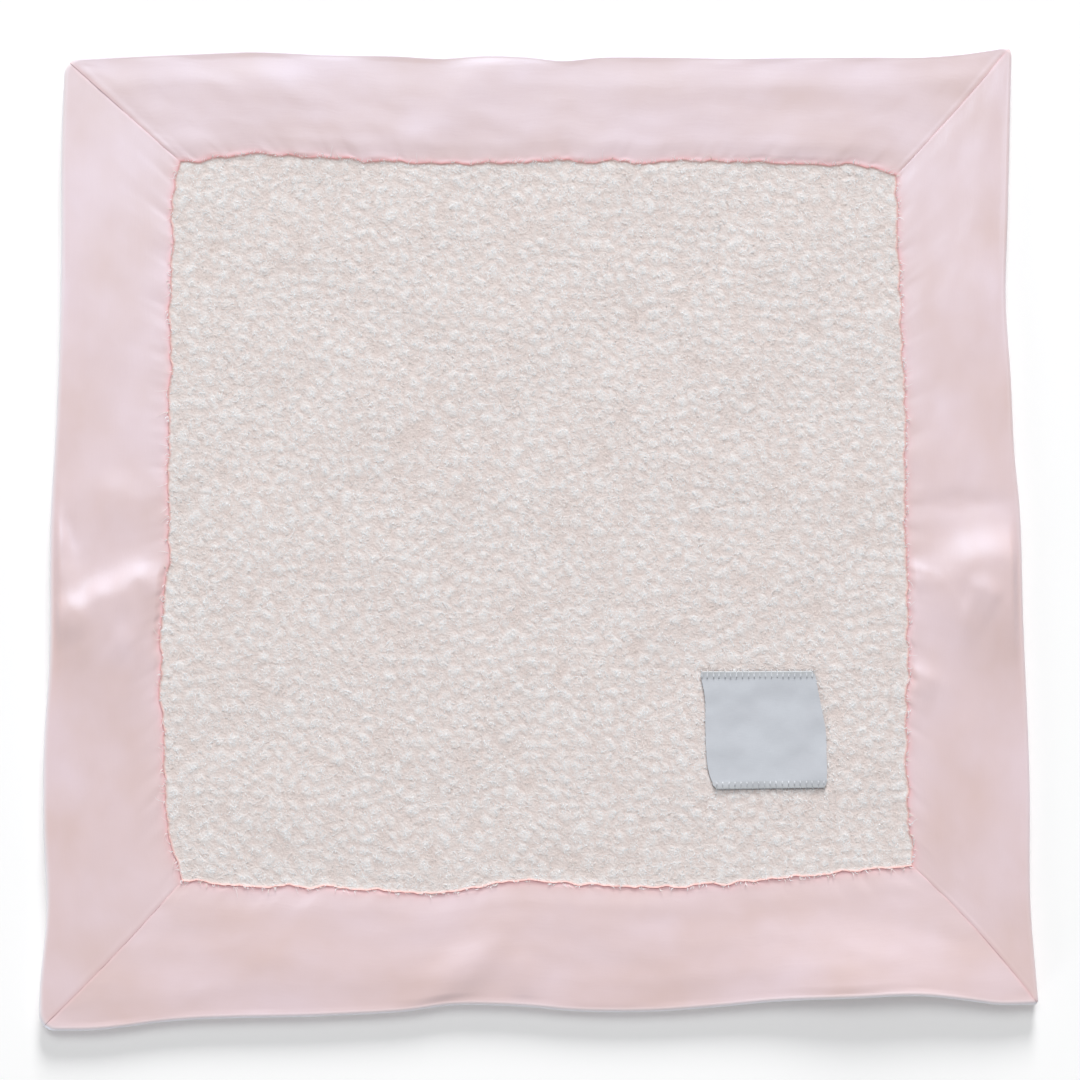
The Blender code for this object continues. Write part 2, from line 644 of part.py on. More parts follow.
def main():
    clear_scene()
    satin = material("border_satin", SATIN_PINK, 0.38)
    back = material("back_satin", BACK_PINK, 0.42)
    fleece = material("sherpa_fleece", CREAM, 0.95)
    woven = material("label_cloth", LABEL_GREY, 0.5)
    pink_thread = material("seam_thread", THREAD_PINK, 0.6)
    grey_thread = material("label_thread", THREAD_GREY, 0.6)

    back_panel(back)
    sherpa_panel(fleece)
    for side in range(4):
        border_strip(side, satin)
        panel_seam(side, pink_thread)
        mitre_seam(side, pink_thread)
    edge_seam(pink_thread)
    closing_thread(pink_thread)
    label(woven)
    label_stitches("label_stitches_top", False, grey_thread)
    label_stitches("label_stitches_bottom", True, grey_thread)


main()
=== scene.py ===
import json
import math

import bmesh
import bpy
import numpy as np
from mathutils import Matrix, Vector

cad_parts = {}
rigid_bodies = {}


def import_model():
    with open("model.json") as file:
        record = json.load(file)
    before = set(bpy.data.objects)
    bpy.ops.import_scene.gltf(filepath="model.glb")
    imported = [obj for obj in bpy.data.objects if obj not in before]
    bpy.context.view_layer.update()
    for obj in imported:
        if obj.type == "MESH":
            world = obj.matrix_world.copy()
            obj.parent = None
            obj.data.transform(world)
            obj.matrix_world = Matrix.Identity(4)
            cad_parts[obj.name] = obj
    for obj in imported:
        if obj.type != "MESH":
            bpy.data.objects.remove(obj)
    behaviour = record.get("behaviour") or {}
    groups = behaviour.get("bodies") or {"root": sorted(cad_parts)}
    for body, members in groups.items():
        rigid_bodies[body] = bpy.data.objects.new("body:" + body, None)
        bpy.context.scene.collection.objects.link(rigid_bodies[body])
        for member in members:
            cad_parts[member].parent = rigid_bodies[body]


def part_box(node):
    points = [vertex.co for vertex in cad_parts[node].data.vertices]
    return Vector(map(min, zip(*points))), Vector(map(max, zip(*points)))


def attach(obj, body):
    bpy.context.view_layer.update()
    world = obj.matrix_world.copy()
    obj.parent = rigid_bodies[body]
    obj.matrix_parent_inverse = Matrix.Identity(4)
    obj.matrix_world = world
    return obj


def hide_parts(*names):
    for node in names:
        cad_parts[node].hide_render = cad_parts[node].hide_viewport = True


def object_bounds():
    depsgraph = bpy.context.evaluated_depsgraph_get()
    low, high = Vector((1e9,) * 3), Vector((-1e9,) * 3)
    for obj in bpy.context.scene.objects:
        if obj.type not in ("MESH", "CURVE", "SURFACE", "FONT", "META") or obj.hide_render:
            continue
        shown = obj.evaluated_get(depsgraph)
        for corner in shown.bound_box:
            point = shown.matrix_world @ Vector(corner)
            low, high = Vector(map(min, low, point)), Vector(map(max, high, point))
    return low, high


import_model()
cadLow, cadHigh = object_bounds()
mm = 0.001
print("frame loaded")


# Node trees

class Wire:
    # one output socket, so that maths on it reads as a sum
    def __init__(self, graph, socket):
        self.graph, self.socket = graph, socket

    def beside(self, output):
        # another output of the same node
        return Wire(self.graph, self.socket.node.outputs[output])

    def __add__(self, other):
        return self.graph.maths("ADD", self, other)

    def __radd__(self, other):
        return self.graph.maths("ADD", other, self)

    def __sub__(self, other):
        return self.graph.maths("SUBTRACT", self, other)

    def __rsub__(self, other):
        return self.graph.maths("SUBTRACT", other, self)

    def __mul__(self, other):
        return self.graph.maths("MULTIPLY", self, other)

    def __rmul__(self, other):
        return self.graph.maths("MULTIPLY", other, self)

    def __abs__(self):
        return self.graph.maths("ABSOLUTE", self)


class Graph:
    def __init__(self, tree):
        self.tree = tree

    def feed(self, socket, value):
        if isinstance(value, Wire):
            self.tree.links.new(value.socket, socket)
        else:
            socket.default_value = value

    def node(self, kind, settings=None, inputs=None, output=0):
        made = self.tree.nodes.new(kind)
        for name, value in (settings or {}).items():
            setattr(made, name, value)
        for name, value in (inputs or {}).items():
            self.feed(made.inputs[name], value)
        return Wire(self, made.outputs[output])

    def maths(self, operation, *values):
        return self.node("ShaderNodeMath", {"operation": operation}, dict(enumerate(values)))


def paint(colour, shift=0):
    # a colour as it is seen on a screen, 0 to 255, as the linear colour that shaders take
    seen = (np.array(colour) + shift) / 255
    linear = np.where(seen <= 0.04045, seen / 12.92, ((seen + 0.055) / 1.055) ** 2.4)
    return (*linear.tolist(), 1.0)


class Finish(Graph):
    # one procedural material round a Principled shader
    def __init__(self, name, **constants):
        self.material = bpy.data.materials.new(name)
        self.material.use_nodes = True
        super().__init__(self.material.node_tree)
        self.shader = self.tree.nodes["Principled BSDF"]
        for socket, value in constants.items():
            self.drive(socket.replace("_", " "), value)

    def drive(self, socket, value):
        self.feed(self.shader.inputs[socket], value)

    def mixed(self, share, first, second):
        # two colours mixed
        return self.node("ShaderNodeMix", {"data_type": "RGBA"}, {0: share, 6: first, 7: second}, 2)

    def stretched(self, place, scale):
        return self.node("ShaderNodeVectorMath", {"operation": "MULTIPLY"}, {0: place, 1: scale})

    def noise(self, place, grain, detail, rough=0.5):
        # grain: how many times it changes in a metre, each way
        inputs = {"Vector": self.stretched(place, grain), "Scale": 1.0, "Detail": detail, "Roughness": rough}
        return self.node("ShaderNodeTexNoise", {}, inputs)

    def clamped(self, value, low, high):
        inputs = {"Value": value, "From Min": low, "From Max": high}
        return self.node("ShaderNodeMapRange", {"clamp": True}, inputs)

    def mark(self, name):
        # a number that the mesh carries at each point
        return self.node("ShaderNodeAttribute", {"attribute_name": name}, {}, 2)

    def place(self):
        return self.node("ShaderNodeTexCoord", {}, {}, 3)

    def cloth(self):
        return self.node("ShaderNodeUVMap", {"uv_map": "cloth"})

    def bump(self, height, depth, strength, under=None):
        inputs = {"Height": height, "Distance": depth * mm, "Strength": strength}
        if under is not None:
            inputs["Normal"] = under
        return self.node("ShaderNodeBump", {}, inputs)


class Growth(Graph):
    # a Geometry Nodes tree with named inputs, which ends in real geometry with its finish
    def __init__(self, name, inputs):
        super().__init__(bpy.data.node_groups.new(name, "GeometryNodeTree"))
        face = self.tree.interface
        self.sockets = {
            title: face.new_socket(title, in_out="INPUT", socket_type="NodeSocket" + kind).identifier
            for title, kind in inputs.items()}
        face.new_socket("Made", in_out="OUTPUT", socket_type="NodeSocketGeometry")
        first = self.node("NodeGroupInput")
        self.given = {title: first.beside(title) for title in inputs}

    def mark(self, name, kind="FLOAT"):
        return self.node("GeometryNodeInputNamedAttribute", {"data_type": kind}, {"Name": name})

    def stored(self, made, name, value, kind, domain):
        return self.node("GeometryNodeStoreNamedAttribute", {"data_type": kind, "domain": domain},
                         {"Geometry": made, "Name": name, "Value": value})

    def chance(self, low, high, seed):
        # an even draw between two numbers
        return self.node("FunctionNodeRandomValue", {"data_type": "FLOAT"}, {2: low, 3: high, 8: seed}, 1)

    def turned(self, angle):
        # a turn about the upright
        return self.node("FunctionNodeAxisAngleToRotation", {}, {"Axis": (0, 0, 1), "Angle": angle})

    def real(self, placed):
        return self.node("GeometryNodeRealizeInstances", {}, {"Geometry": placed})

    def end(self, made):
        done = self.node("GeometryNodeSetMaterial", {}, {"Geometry": made, "Material": self.given["Finish"]})
        self.feed(self.tree.nodes.new("NodeGroupOutput").inputs[0], done)

    def run(self, obj, values):
        # turns the object into what the tree makes of it, as a plain mesh
        modifier = obj.modifiers.new("growth", "NODES")
        modifier.node_group = self.tree
        for title, value in values.items():
            modifier[self.sockets[title]] = value
        return settled(obj)


# How the blanket lies. Lists that go round it start at the top left and run clockwise.

lay = {
    "side": 406.4,  # mm, the finished blanket
    "border": 50.8,  # from the panel seam to the outer edge
    "outlineStray": ((2.2, -4.6), (-1.9, 1.1), (0.1, 9.2), (0.9, -1.4)),  # mm, right and up, from a square
    "seamStray": ((2.4, 0.2), (-2.4, -5.8), (-0.5, 15.5), (8.2, 9.4)),
    "cornerRadius": (6.8, 4.4, 1.9, 6.2),  # mm
    "mitreBow": ((0, 0), (0.56, -0.56), (1.4, 1.4), (0.64, -0.64)),  # mm, right and up
    "bowReach": 30,  # mm
    "edgeDrift": (  # share of each side, and mm outwards from the line between its corners
        ((0, 0), (0.06, 1), (0.14, 2), (0.2, 2.5), (0.27, 0.9), (0.35, -0.2), (0.4, -1.5), (0.44, -0.6),
         (0.485, -1.3), (0.526, -3.2), (0.565, -2), (0.61, -2.1), (0.65, -2.5), (0.7, -3.2), (0.78, -3.3),
         (0.86, -3.6), (0.905, -3.9), (0.945, -3), (1, 0)),
        ((0, 0), (0.1, -2), (0.19, -3.8), (0.27, -5.5), (0.36, -4.2), (0.44, -3.5), (0.485, -2.2),
         (0.61, -1.8), (0.78, -1), (0.9, -2), (1, 0)),
        ((0, 0), (0.04, -0.4), (0.07, -2.4), (0.11, -4.6), (0.19, -4.6), (0.27, -3.9), (0.31, -2.7),
         (0.39, -1.2), (0.47, -2.4), (0.51, -4.3), (0.55, -5.5), (0.59, -5.8), (0.63, -4), (0.71, -2.9),
         (0.87, -2.4), (0.95, 0.4), (1, 0)),
        ((0, 0), (0.03, 0.4), (0.12, -1.6), (0.2, 0.5), (0.28, 1.3), (0.36, 0.1), (0.52, 0.9), (0.61, -0.3),
         (0.82, -0.5), (0.9, 0.4), (1, 0)),
    ),
    "seamDrift": (
        ((0, 0), (0.06, 2.1), (0.11, 3.8), (0.16, 3.6), (0.21, 2.6), (0.4, 1.6), (0.5, 3.1), (0.7, 3.9),
         (0.8, 4.9), (0.9, 3.7), (0.95, 3.2), (1, 0)),
        ((0, 0), (0.12, 0.1), (0.38, 1.3), (0.5, 0.6), (0.68, 0.4), (0.85, -1.3), (1, 0)),
        ((0, 0), (0.08, 1.5), (0.17, 3.8), (0.27, 5.8), (0.37, 6.4), (0.46, 4.6), (0.51, 3.0), (0.56, 3.2),
         (0.61, 6), (0.66, 7), (0.73, 5.6), (0.8, 3.7), (0.9, 2.8), (1, 0)),
        ((0, 0), (0.05, 4.5), (0.1, 6.1), (0.2, 7.8), (0.27, 8.6), (0.36, 7.9), (0.44, 5.5), (0.54, 5.7),
         (0.68, 4.5), (0.85, 3.7), (0.96, 2.3), (1, 0)),
    ),
    "scallop": 1.1,  # mm, the seam wavers in and out between its stitches
    "scallopLength": 9,  # mm
    "scallopStill": 8,  # mm from each corner, over which it comes to its depth
    # share of that depth, how many times as close, how unlike the sides are, seed
    "wavers": ((1, 1, 7.3, 11), (0.45, 2.7, 5.1, 12)),
}

sides = ("top", "right", "bottom", "left")
corners = ("top_left", "top_right", "bottom_right", "bottom_left")
outward = np.array([(0, 1), (1, 0), (0, -1), (-1, 0)], float)
cornerSigns = np.array([(-1, 1), (1, 1), (1, -1), (-1, -1)], float)
boxMiddle = (np.array(cadHigh)[:2] + np.array(cadLow)[:2]) / 2
boxHalf = (np.array(cadHigh)[:2] - np.array(cadLow)[:2]) / 2
panelHalf = boxHalf - lay["border"] * mm
outlineCorners = boxMiddle + cornerSigns * boxHalf + np.array(lay["outlineStray"]) * mm
seamCorners = boxMiddle + cornerSigns * panelHalf + np.array(lay["seamStray"]) * mm


def curveThrough(knots, at):
    # a smooth curve through the knots, read at several places
    x, y = np.array(knots, float).T
    slope = np.gradient(y, x)
    i = np.clip(np.searchsorted(x, at) - 1, 0, len(x) - 2)
    width = x[i + 1] - x[i]
    t = (at - x[i]) / width
    return (
        (2 * t**3 - 3 * t**2 + 1) * y[i]
        + (3 * t**2 - 2 * t**3) * y[i + 1]
        + (t**3 - 2 * t**2 + t) * width * slope[i]
        + (t**3 - t**2) * width * slope[i + 1]
    )


def ease(share):
    held = np.clip(share, 0, 1)
    return held * held * (3 - 2 * held)


def bell(distance, width):
    # 1 at no distance, and falling away over this width
    return np.exp(-((distance / width) ** 2))


def softNoise(x, y, seed, period=64):
    # smooth noise from about -1 to 1, with its bumps about one unit apart; it is 0 where both numbers are
    # whole, so one row of it is read between them
    angles = np.random.default_rng(seed).uniform(0, 2 * np.pi, (period, period))
    x, y = np.broadcast_arrays(x, y)
    column, row = np.floor(x).astype(int), np.floor(y).astype(int)
    fx, fy = x - column, y - row

    def pull(dx, dy):
        angle = angles[(column + dx) % period, (row + dy) % period]
        return np.cos(angle) * (fx - dx) + np.sin(angle) * (fy - dy)

    ux, uy = (f**3 * (f * (f * 6 - 15) + 10) for f in (fx, fy))
    low = pull(0, 0) * (1 - ux) + pull(1, 0) * ux
    high = pull(0, 1) * (1 - ux) + pull(1, 1) * ux
    return (low * (1 - uy) + high * uy) * 1.5


def waves(x, y, layers):
    # noises laid over one another: the height of each, its length both ways and its seed
    return sum(softNoise(x / wide, y / tall, seed) * height for height, wide, tall, seed in layers)


def scallop(side, along, length):
    # how far the seam wavers outwards, still at its corners
    near = ease(np.minimum(along, length - along) / (lay["scallopStill"] * mm))
    step = along / (lay["scallopLength"] * mm)
    waver = 0
    for share, closer, unlike, seed in lay["wavers"]:
        waver = waver + share * softNoise(step * closer, side * unlike + 0.5, seed)
    return waver * near * lay["scallop"] * mm


class Rows:
    # lines across one side of the blanket, at these shares of it, from the panel seam to the outer edge
    def __init__(self, side, share):
        share = np.asarray(share, float)
        self.side = side
        start, end = seamCorners[side], seamCorners[(side + 1) % 4]
        self.length = np.linalg.norm(end - start)
        self.along = share * self.length
        drift = curveThrough(lay["seamDrift"][side], share) * mm + scallop(side, self.along, self.length)
        self.seam = start + share[:, None] * (end - start) + outward[side] * drift[:, None]

        start, end = outlineCorners[side], outlineCorners[(side + 1) % 4]
        first, last = (lay["cornerRadius"][(side + turn) % 4] * mm for turn in (0, 1))
        length = np.linalg.norm(end - start)
        cut = 1 - math.sqrt(0.5)
        along = cut * first + share * (length - cut * (first + last))
        rounding = 0
        for radius, away in ((first, along), (last, length - along)):
            inside = np.maximum(radius - away, 0)
            rounding = rounding + radius - np.sqrt(radius**2 - inside**2)
        drift = curveThrough(lay["edgeDrift"][side], along / length) * mm - rounding
        self.edge = start + (along / length)[:, None] * (end - start) + outward[side] * drift[:, None]

        across = self.edge - self.seam
        self.width = across @ outward[side]
        self.out = across / self.width[:, None]
        later = self.length - self.along < self.along
        self.mitre = np.where(later, (side + 1) % 4, side)
        self.fromMitre = np.minimum(self.along, self.length - self.along)
        direction = self.out / np.linalg.norm(self.out, axis=1)[:, None]
        self.squareToMitre = self.fromMitre * np.abs(direction @ outward[side])

    def at(self, out):
        # points at these distances out from the seam, one row of them for each line
        out = np.broadcast_to(out, (len(self.width), np.shape(out)[-1]))
        felt = np.maximum(1 - self.fromMitre / (lay["bowReach"] * mm), 0)[:, None]
        felt = felt * np.sin(np.pi * np.clip(out / self.width[:, None], 0, 1))
        bow = np.array(lay["mitreBow"])[self.mitre][:, None, :] * mm
        return self.seam[:, None, :] + self.out[:, None, :] * out[..., None] + bow * felt[..., None]


def rimOf(offset, cells, fromEdge=False):
    # points round the seam or the outline, clockwise from the top left, one list for each side
    found = []
    for side in range(4):
        rows = Rows(side, np.linspace(0, 1, cells + 1))
        out = rows.width[:, None] + offset if fromEdge else np.array([[offset]])
        found.append(rows.at(out)[:, 0])
    return found


def patchInside(rim):
    # a grid of points between four curves
    top, right, bottom, left = rim[0], rim[1], rim[2][::-1], rim[3][::-1]
    u = np.linspace(0, 1, len(top))
    across, down = u[None, :, None], u[:, None, None]
    flat = (1 - down) * top[None] + down * bottom[None]
    flat = flat + (1 - across) * left[:, None] + across * right[:, None]
    square = (1 - across) * (1 - down) * top[0] + across * (1 - down) * top[-1]
    square = square + (1 - across) * down * bottom[0] + across * down * bottom[-1]
    return flat - square


def depthInside(cells, half):
    # how far in from its rim each point of such a grid is
    u = np.linspace(0, 1, cells + 1)
    inward = np.minimum(u, 1 - u) * 2 * half
    return np.minimum(inward[None, :], inward[:, None])


def raised(places, level):
    return np.column_stack([places, np.full(len(places), level)])


def spreadOut(length, fine, coarse, reach):
    # places from 0 to the length, closer together near both ends
    half = [0.0]
    while half[-1] < length / 2:
        half.append(half[-1] + fine + (coarse - fine) * min(half[-1] / reach, 1))
    half = np.array(half) * (length / 2 / half[-1])
    return np.concatenate([half, length - half[-2::-1]])


def foldTurn(centre, level, radius, steps=8):
    # a fold's half circle from its lower cloth to its upper one: distances from the seam, and levels
    angle = np.linspace(-np.pi / 2, np.pi / 2, steps)
    return centre - radius * np.cos(angle), level + radius * np.sin(angle)


# Meshes

pieces = []
crispFrom = 50  # degrees between faces


def link(obj):
    bpy.context.scene.collection.objects.link(obj)
    return obj


def gridFaces(rows, columns):
    index = np.arange(rows * columns).reshape(rows, columns)
    quads = [index[:-1, :-1], index[1:, :-1], index[1:, 1:], index[:-1, 1:]]
    return np.stack(quads, -1).reshape(-1, 4)


def meshObject(name, points, faces, uv=None, marks=None):
    # a smooth mesh; uv and marks hold a value for each point
    mesh = bpy.data.meshes.new(name)
    mesh.from_pydata(np.reshape(points, (-1, 3)).tolist(), [], [tuple(face) for face in faces])
    if uv is not None:
        loops = np.zeros(len(mesh.loops), int)
        mesh.loops.foreach_get("vertex_index", loops)
        mesh.uv_layers.new(name="cloth").data.foreach_set("uv", np.reshape(uv, (-1, 2))[loops].ravel())
    for mark, values in (marks or {}).items():
        made = mesh.attributes.new(mark, "FLOAT", "POINT")
        made.data.foreach_set("value", np.ravel(values).astype(np.float32))
    mesh.shade_smooth()
    return link(bpy.data.objects.new(name, mesh))


def turnedUnder(top, profile, fromEdge=False):
    # a square grid of points with its rim carried on through rings at these distances out and levels
    points, faces = [top.reshape(-1, 3)], [gridFaces(*top.shape[:2])]
    index = np.arange(len(points[0])).reshape(top.shape[:2])
    ring = np.concatenate([index[0, :-1], index[:-1, -1], index[-1, :0:-1], index[:0:-1, 0]])
    for out, level in profile:
        turned = np.concatenate([side[:-1] for side in rimOf(out, len(top) - 1, fromEdge)])
        points.append(raised(turned, level))
        lower = np.arange(len(ring)) + sum(map(len, points[:-1]))
        faces.append(np.stack([ring, lower, np.roll(lower, -1), np.roll(ring, -1)], -1))
        ring = lower
    return np.concatenate(points), np.concatenate(faces), ring


def ringAt(place, sideways, over, radius, count, turn=0.0, wide=1, high=1):
    # the corners of a thread or a lock at one place along it
    angles = [2 * math.pi * corner / count + turn for corner in range(count)]
    return [place + (sideways * math.cos(angle) * wide + over * math.sin(angle) * high) * radius
            for angle in angles]


def tubeMesh(name, rings, tip=None, marks=None):
    # a closed tube through rings of corners, which ends in a tip or a flat cap
    count, points = len(rings[0]), [tuple(corner) for ring in rings for corner in ring]
    last, faces = len(points) - count, [tuple(range(count))[::-1]]
    following = [(corner, (corner + 1) % count) for corner in range(count)]
    for start in range(0, last, count):
        faces += [(start + a, start + b, start + b + count, start + a + count) for a, b in following]
    if tip is None:
        faces.append(tuple(range(last, len(points))))
    else:
        faces += [(last + a, last + b, len(points)) for a, b in following]
        points.append(tuple(tip))
    made = meshObject(name, points, faces, None, marks)
    fixed = bmesh.new()
    fixed.from_mesh(made.data)
    bmesh.ops.recalc_face_normals(fixed, faces=fixed.faces)
    fixed.to_mesh(made.data)
    fixed.free()
    return made


def settled(obj):
    # the object with its modifiers applied
    graph = bpy.context.evaluated_depsgraph_get()
    mesh = bpy.data.meshes.new_from_object(obj.evaluated_get(graph))
    obj.modifiers.clear()
    obj.data = mesh
    mesh.name = obj.name
    return obj


def thicken(obj, thickness, even=True):
    solid = obj.modifiers.new("cloth", "SOLIDIFY")
    solid.thickness = thickness
    solid.offset = 0
    solid.use_even_offset = even
    settled(obj)
    obj.data.set_sharp_from_angle(angle=math.radians(crispFrom))


def finishPiece(obj, finish, slot, *nodes):
    pieces.append(obj)
    obj.data.materials.clear()
    obj.data.materials.append(finish.material)
    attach(obj, "root")
    if nodes:
        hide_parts(*nodes)


# Satin border

satin = {
    "thickness": 0.5,  # mm
    "allowance": 8,
    "gap": 0.3,
    "thread": 0.4,
    "edgeFold": 1.2,
    "mitreGap": 0.02,  # between a strip's end and the mitre
    "puff": 0.3,  # rise of the face over its folded edges
    "puffWidths": (9, 13),  # how far in from the seam and from the outer edge it comes to its height
    "puckerWidths": (1.6, 2.5),  # and the puckers to theirs
    "foldWidths": (3.2, 4),
    "creaseDip": 0.06,  # the face sinks towards each mitre
    "creaseReach": 3,
    "creaseCut": 0.08,
    "creaseWidth": 0.6,
    "creaseRidge": 0.05,  # the allowances under the cloth lift it beside the crease
    "ridgeFrom": 0.9,
    "ridgeWidth": 0.6,
    "ridgeWaver": 0.6,  # share of its height
    "ridgeLength": 4,
    # painted warm shade in the seam and mitre creases: its reach, strength side by side, and the same at the
    # mitres
    "seamShadeReach": 1.1,
    "seamShade": (1.15, 0.9, 1.25, 0.9),  # how strongly the painted warm shade shows in the seam, side by side
    "mitreShade": 0.5,
    "mitreShadeReach": 0.3,
    "rimLight": (0.4, 0.3, 1, 1),  # and how strong the painted highlight on the outer edge's fold is, side by side
    "rimReach": 1.2,
    "fineStep": 0.35,  # spacing of the mesh near its ends and in its middle
    "coarseStep": 1.1,
    "stepReach": 10,
    "underSteps": 5,  # of the mesh, across the allowance at the seam and at the edge
    "backSteps": 4,
}
# The strip under which each mitre's allowances lie: 0 for the one that ends there, 1 for the one that starts
ridgeOn = (1, 0, 0, 1)

# Puckers run in from a seam, edge or mitre: depth, length and reach in mm, and how slowly they change inwards
puckers = {
    "seam": (0.18, 15, 8, 60),
    "fine": (0.1, 5.5, 2.6, 30),
    "edge": (0.2, 21, 9, 60),
    "mitre": (0.06, 5, 3, 20),
    "row": 0.3,  # of the noise, at which each starts
}
# Ripples lie all over the strip: depth, length and width in mm
ripples = {"broad": (0.18, 46, 24), "soft": (0.09, 17, 9), "softSlant": 40}

# Folds that show as soft lights and shades: a line of points in mm, its height, and how wide its flanks are
# to the left and to the right of someone who walks along it
folds = (
    (((-216, -47), (-194, -38), (-182, -32.5), (-167, -25), (-156, -30), (-147, -38)), 2, 7, 34),
    (((-188, -31), (-178, -27), (-168, -24)), 0.3, 5, 12),
    (((-199, -24), (-193.5, -38), (-189, -50)), 0.6, 4, 14),
    (((-206, 14), (-203, -8), (-199, -24), (-196, -38)), 1.6, 6, 8),
    (((-199, 8), (-193, -14)), -0.4, 3, 3),
    (((-178, -46), (-168, -52)), 0.3, 6, 10),
    (((-190, 14), (-176, 12), (-158, 7)), 0.45, 7, 14),
    (((158, -30), (173, -25), (184, -17.5), (193, -16), (204, -23), (230, -42)), 2.9, 11, 32),
    (((178, -27), (186, -29), (193, -33)), 0.8, 5, 18),
    (((155, 9), (175, 10), (202, 10)), -0.3, 4, 4),
    (((150, -18), (158, -19.5), (166, -22)), 0.4, 2.6, 7),
    (((150, -63), (158, -64), (168, -67)), 0.7, 4, 9),
    (((-46, 170), (-28, 190), (-10, 208)), 0.4, 8, 12),
    (((76, 159), (115, 164), (152, 171)), 0.3, 12, 14),
    (((-150, 184), (-90, 190)), 0.3, 10, 14),
    (((-50, -200), (-30, -184), (-12, -166)), 0.9, 8, 7),
    (((-8, -170), (-4, -199)), 0.5, 5, 6),
    (((80, -176), (130, -178), (172, -174)), 0.7, 14, 14),
    (((-130, -180), (-80, -174)), 0.35, 10, 14),
    (((186, -130), (190, -60)), -0.2, 10, 10),
    (((-186, 60), (-182, 130)), 0.25, 10, 12),
    (((182, 60), (184, 130)), 0.25, 10, 12),
)
foldShape = {
    "blend": 2.2,  # mm, over which a line's parts run into one another, so that no kink shows at its points
    "turnOver": 0.3,  # mm, over which one flank's width gives way to the other's
    "endHeight": 0.25,  # share of its height that is left at its ends
    "endShare": 0.4,  # of its length, over which it comes down to that
}

clothHalf = satin["thickness"] / 2 * mm
threadFold = (satin["thread"] + 2 * satin["gap"] + satin["thickness"]) / 2 * mm
seamFold = satin["gap"] / 2 * mm + clothHalf + threadFold
edgeFold = clothHalf + satin["edgeFold"] * mm
allowance = satin["allowance"] * mm
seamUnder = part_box("border_top")[0].z + clothHalf  # the allowance's level at the panel seam
seamFace = seamUnder + 2 * threadFold
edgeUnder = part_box("back_panel")[1].z + satin["gap"] * mm + clothHalf
edgeFace = edgeUnder + 2 * satin["edgeFold"] * mm


def foldHeight(points):
    # a fold is highest along its line, and its parts run into one another as one crest
    height, blend, endHeight = 0, foldShape["blend"] * mm, foldShape["endHeight"]
    for line, rise, left, right in folds:
        line = np.array(line) * mm
        lengths = np.linalg.norm(np.diff(line, axis=0), axis=1)
        distances, leanings, shares = [], [], []
        for start, end, length, before in zip(line[:-1], line[1:], lengths, np.cumsum(lengths) - lengths):
            run = (end - start) / length
            along = np.clip((points - start) @ run, 0, length)
            step = points - start - along[..., None] * run
            distance = np.linalg.norm(step, axis=-1)
            distances.append(distance)
            leftOf = run[0] * step[..., 1] - run[1] * step[..., 0]
            leanings.append(leftOf / (distance + foldShape["turnOver"] * mm))
            shares.append((before + along) / lengths.sum())
        distances = np.array(distances)
        nearest = distances.min(axis=0)
        weights = np.exp(-(distances - nearest) / blend)
        total = weights.sum(axis=0)
        away = np.maximum(nearest - blend * np.log(total), 0)
        leaning, share = ((weights * np.array(values)).sum(axis=0) / total for values in (leanings, shares))
        leftward = (1 + leaning) / 2
        steep = leftward / left**2 + (1 - leftward) / right**2
        inEnds = ease(np.minimum(share, 1 - share) / foldShape["endShare"])
        faded = rise * mm * (endHeight + (1 - endHeight) * inEnds)
        height = height + faded * np.exp(-((away / mm) ** 2) * steep)
    return height


def billow(noise):
    # rounded ridges with narrow hollows between them
    return np.abs(noise) * 2 - 0.6


def satinRelief(rows, out, points):
    # how far the face rises over the line between its two folds
    seed = rows.side * 10
    along = rows.along[:, None] / mm
    far = (out - seamFold) / mm
    inset = (rows.width[:, None] - out - edgeFold) / mm
    square = rows.squareToMitre[:, None] / mm

    def pucker(kind, run, away, number, ridged=True):
        depth, length, reach, change = puckers[kind]
        noise = softNoise(run / length, away / change + puckers["row"], seed + number)
        return (billow(noise) if ridged else noise) * depth * bell(away, reach)

    def grown(widths):
        # from nothing at both folds to 1 between them
        return ease(np.minimum(far / widths[0], inset / widths[1]))

    puckered = pucker("seam", along, far, 0) + pucker("fine", along, far, 1)
    puckered = puckered + pucker("edge", along, inset, 2, False) + pucker("mitre", far, square, 5)
    depth, length, width = ripples["broad"]
    ripple = softNoise(along / length, far / width, seed + 3) * depth
    depth, length, width = ripples["soft"]
    ripple = ripple + softNoise(along / length + far / ripples["softSlant"], far / width, seed + 4) * depth

    dip = satin["creaseDip"] * bell(square, satin["creaseReach"])
    cut = satin["creaseCut"] * np.maximum(1 - square / satin["creaseWidth"], 0) ** 2
    isEnd = (rows.mitre != rows.side)[:, None]
    ridged = np.array(ridgeOn)[rows.mitre][:, None] != isEnd
    ridge = bell(square - satin["ridgeFrom"], satin["ridgeWidth"]) * ridged * satin["creaseRidge"]
    ridge = ridge * (1 + satin["ridgeWaver"] * softNoise(far / satin["ridgeLength"], 0.5, seed + 6))
    puffed, held, eased = (grown(satin[kind]) for kind in ("puffWidths", "puckerWidths", "foldWidths"))
    lifted = (satin["puff"] + ripple) * puffed + (puckered + ridge - dip) * held
    return (lifted - cut * held) * mm + foldHeight(points) * eased


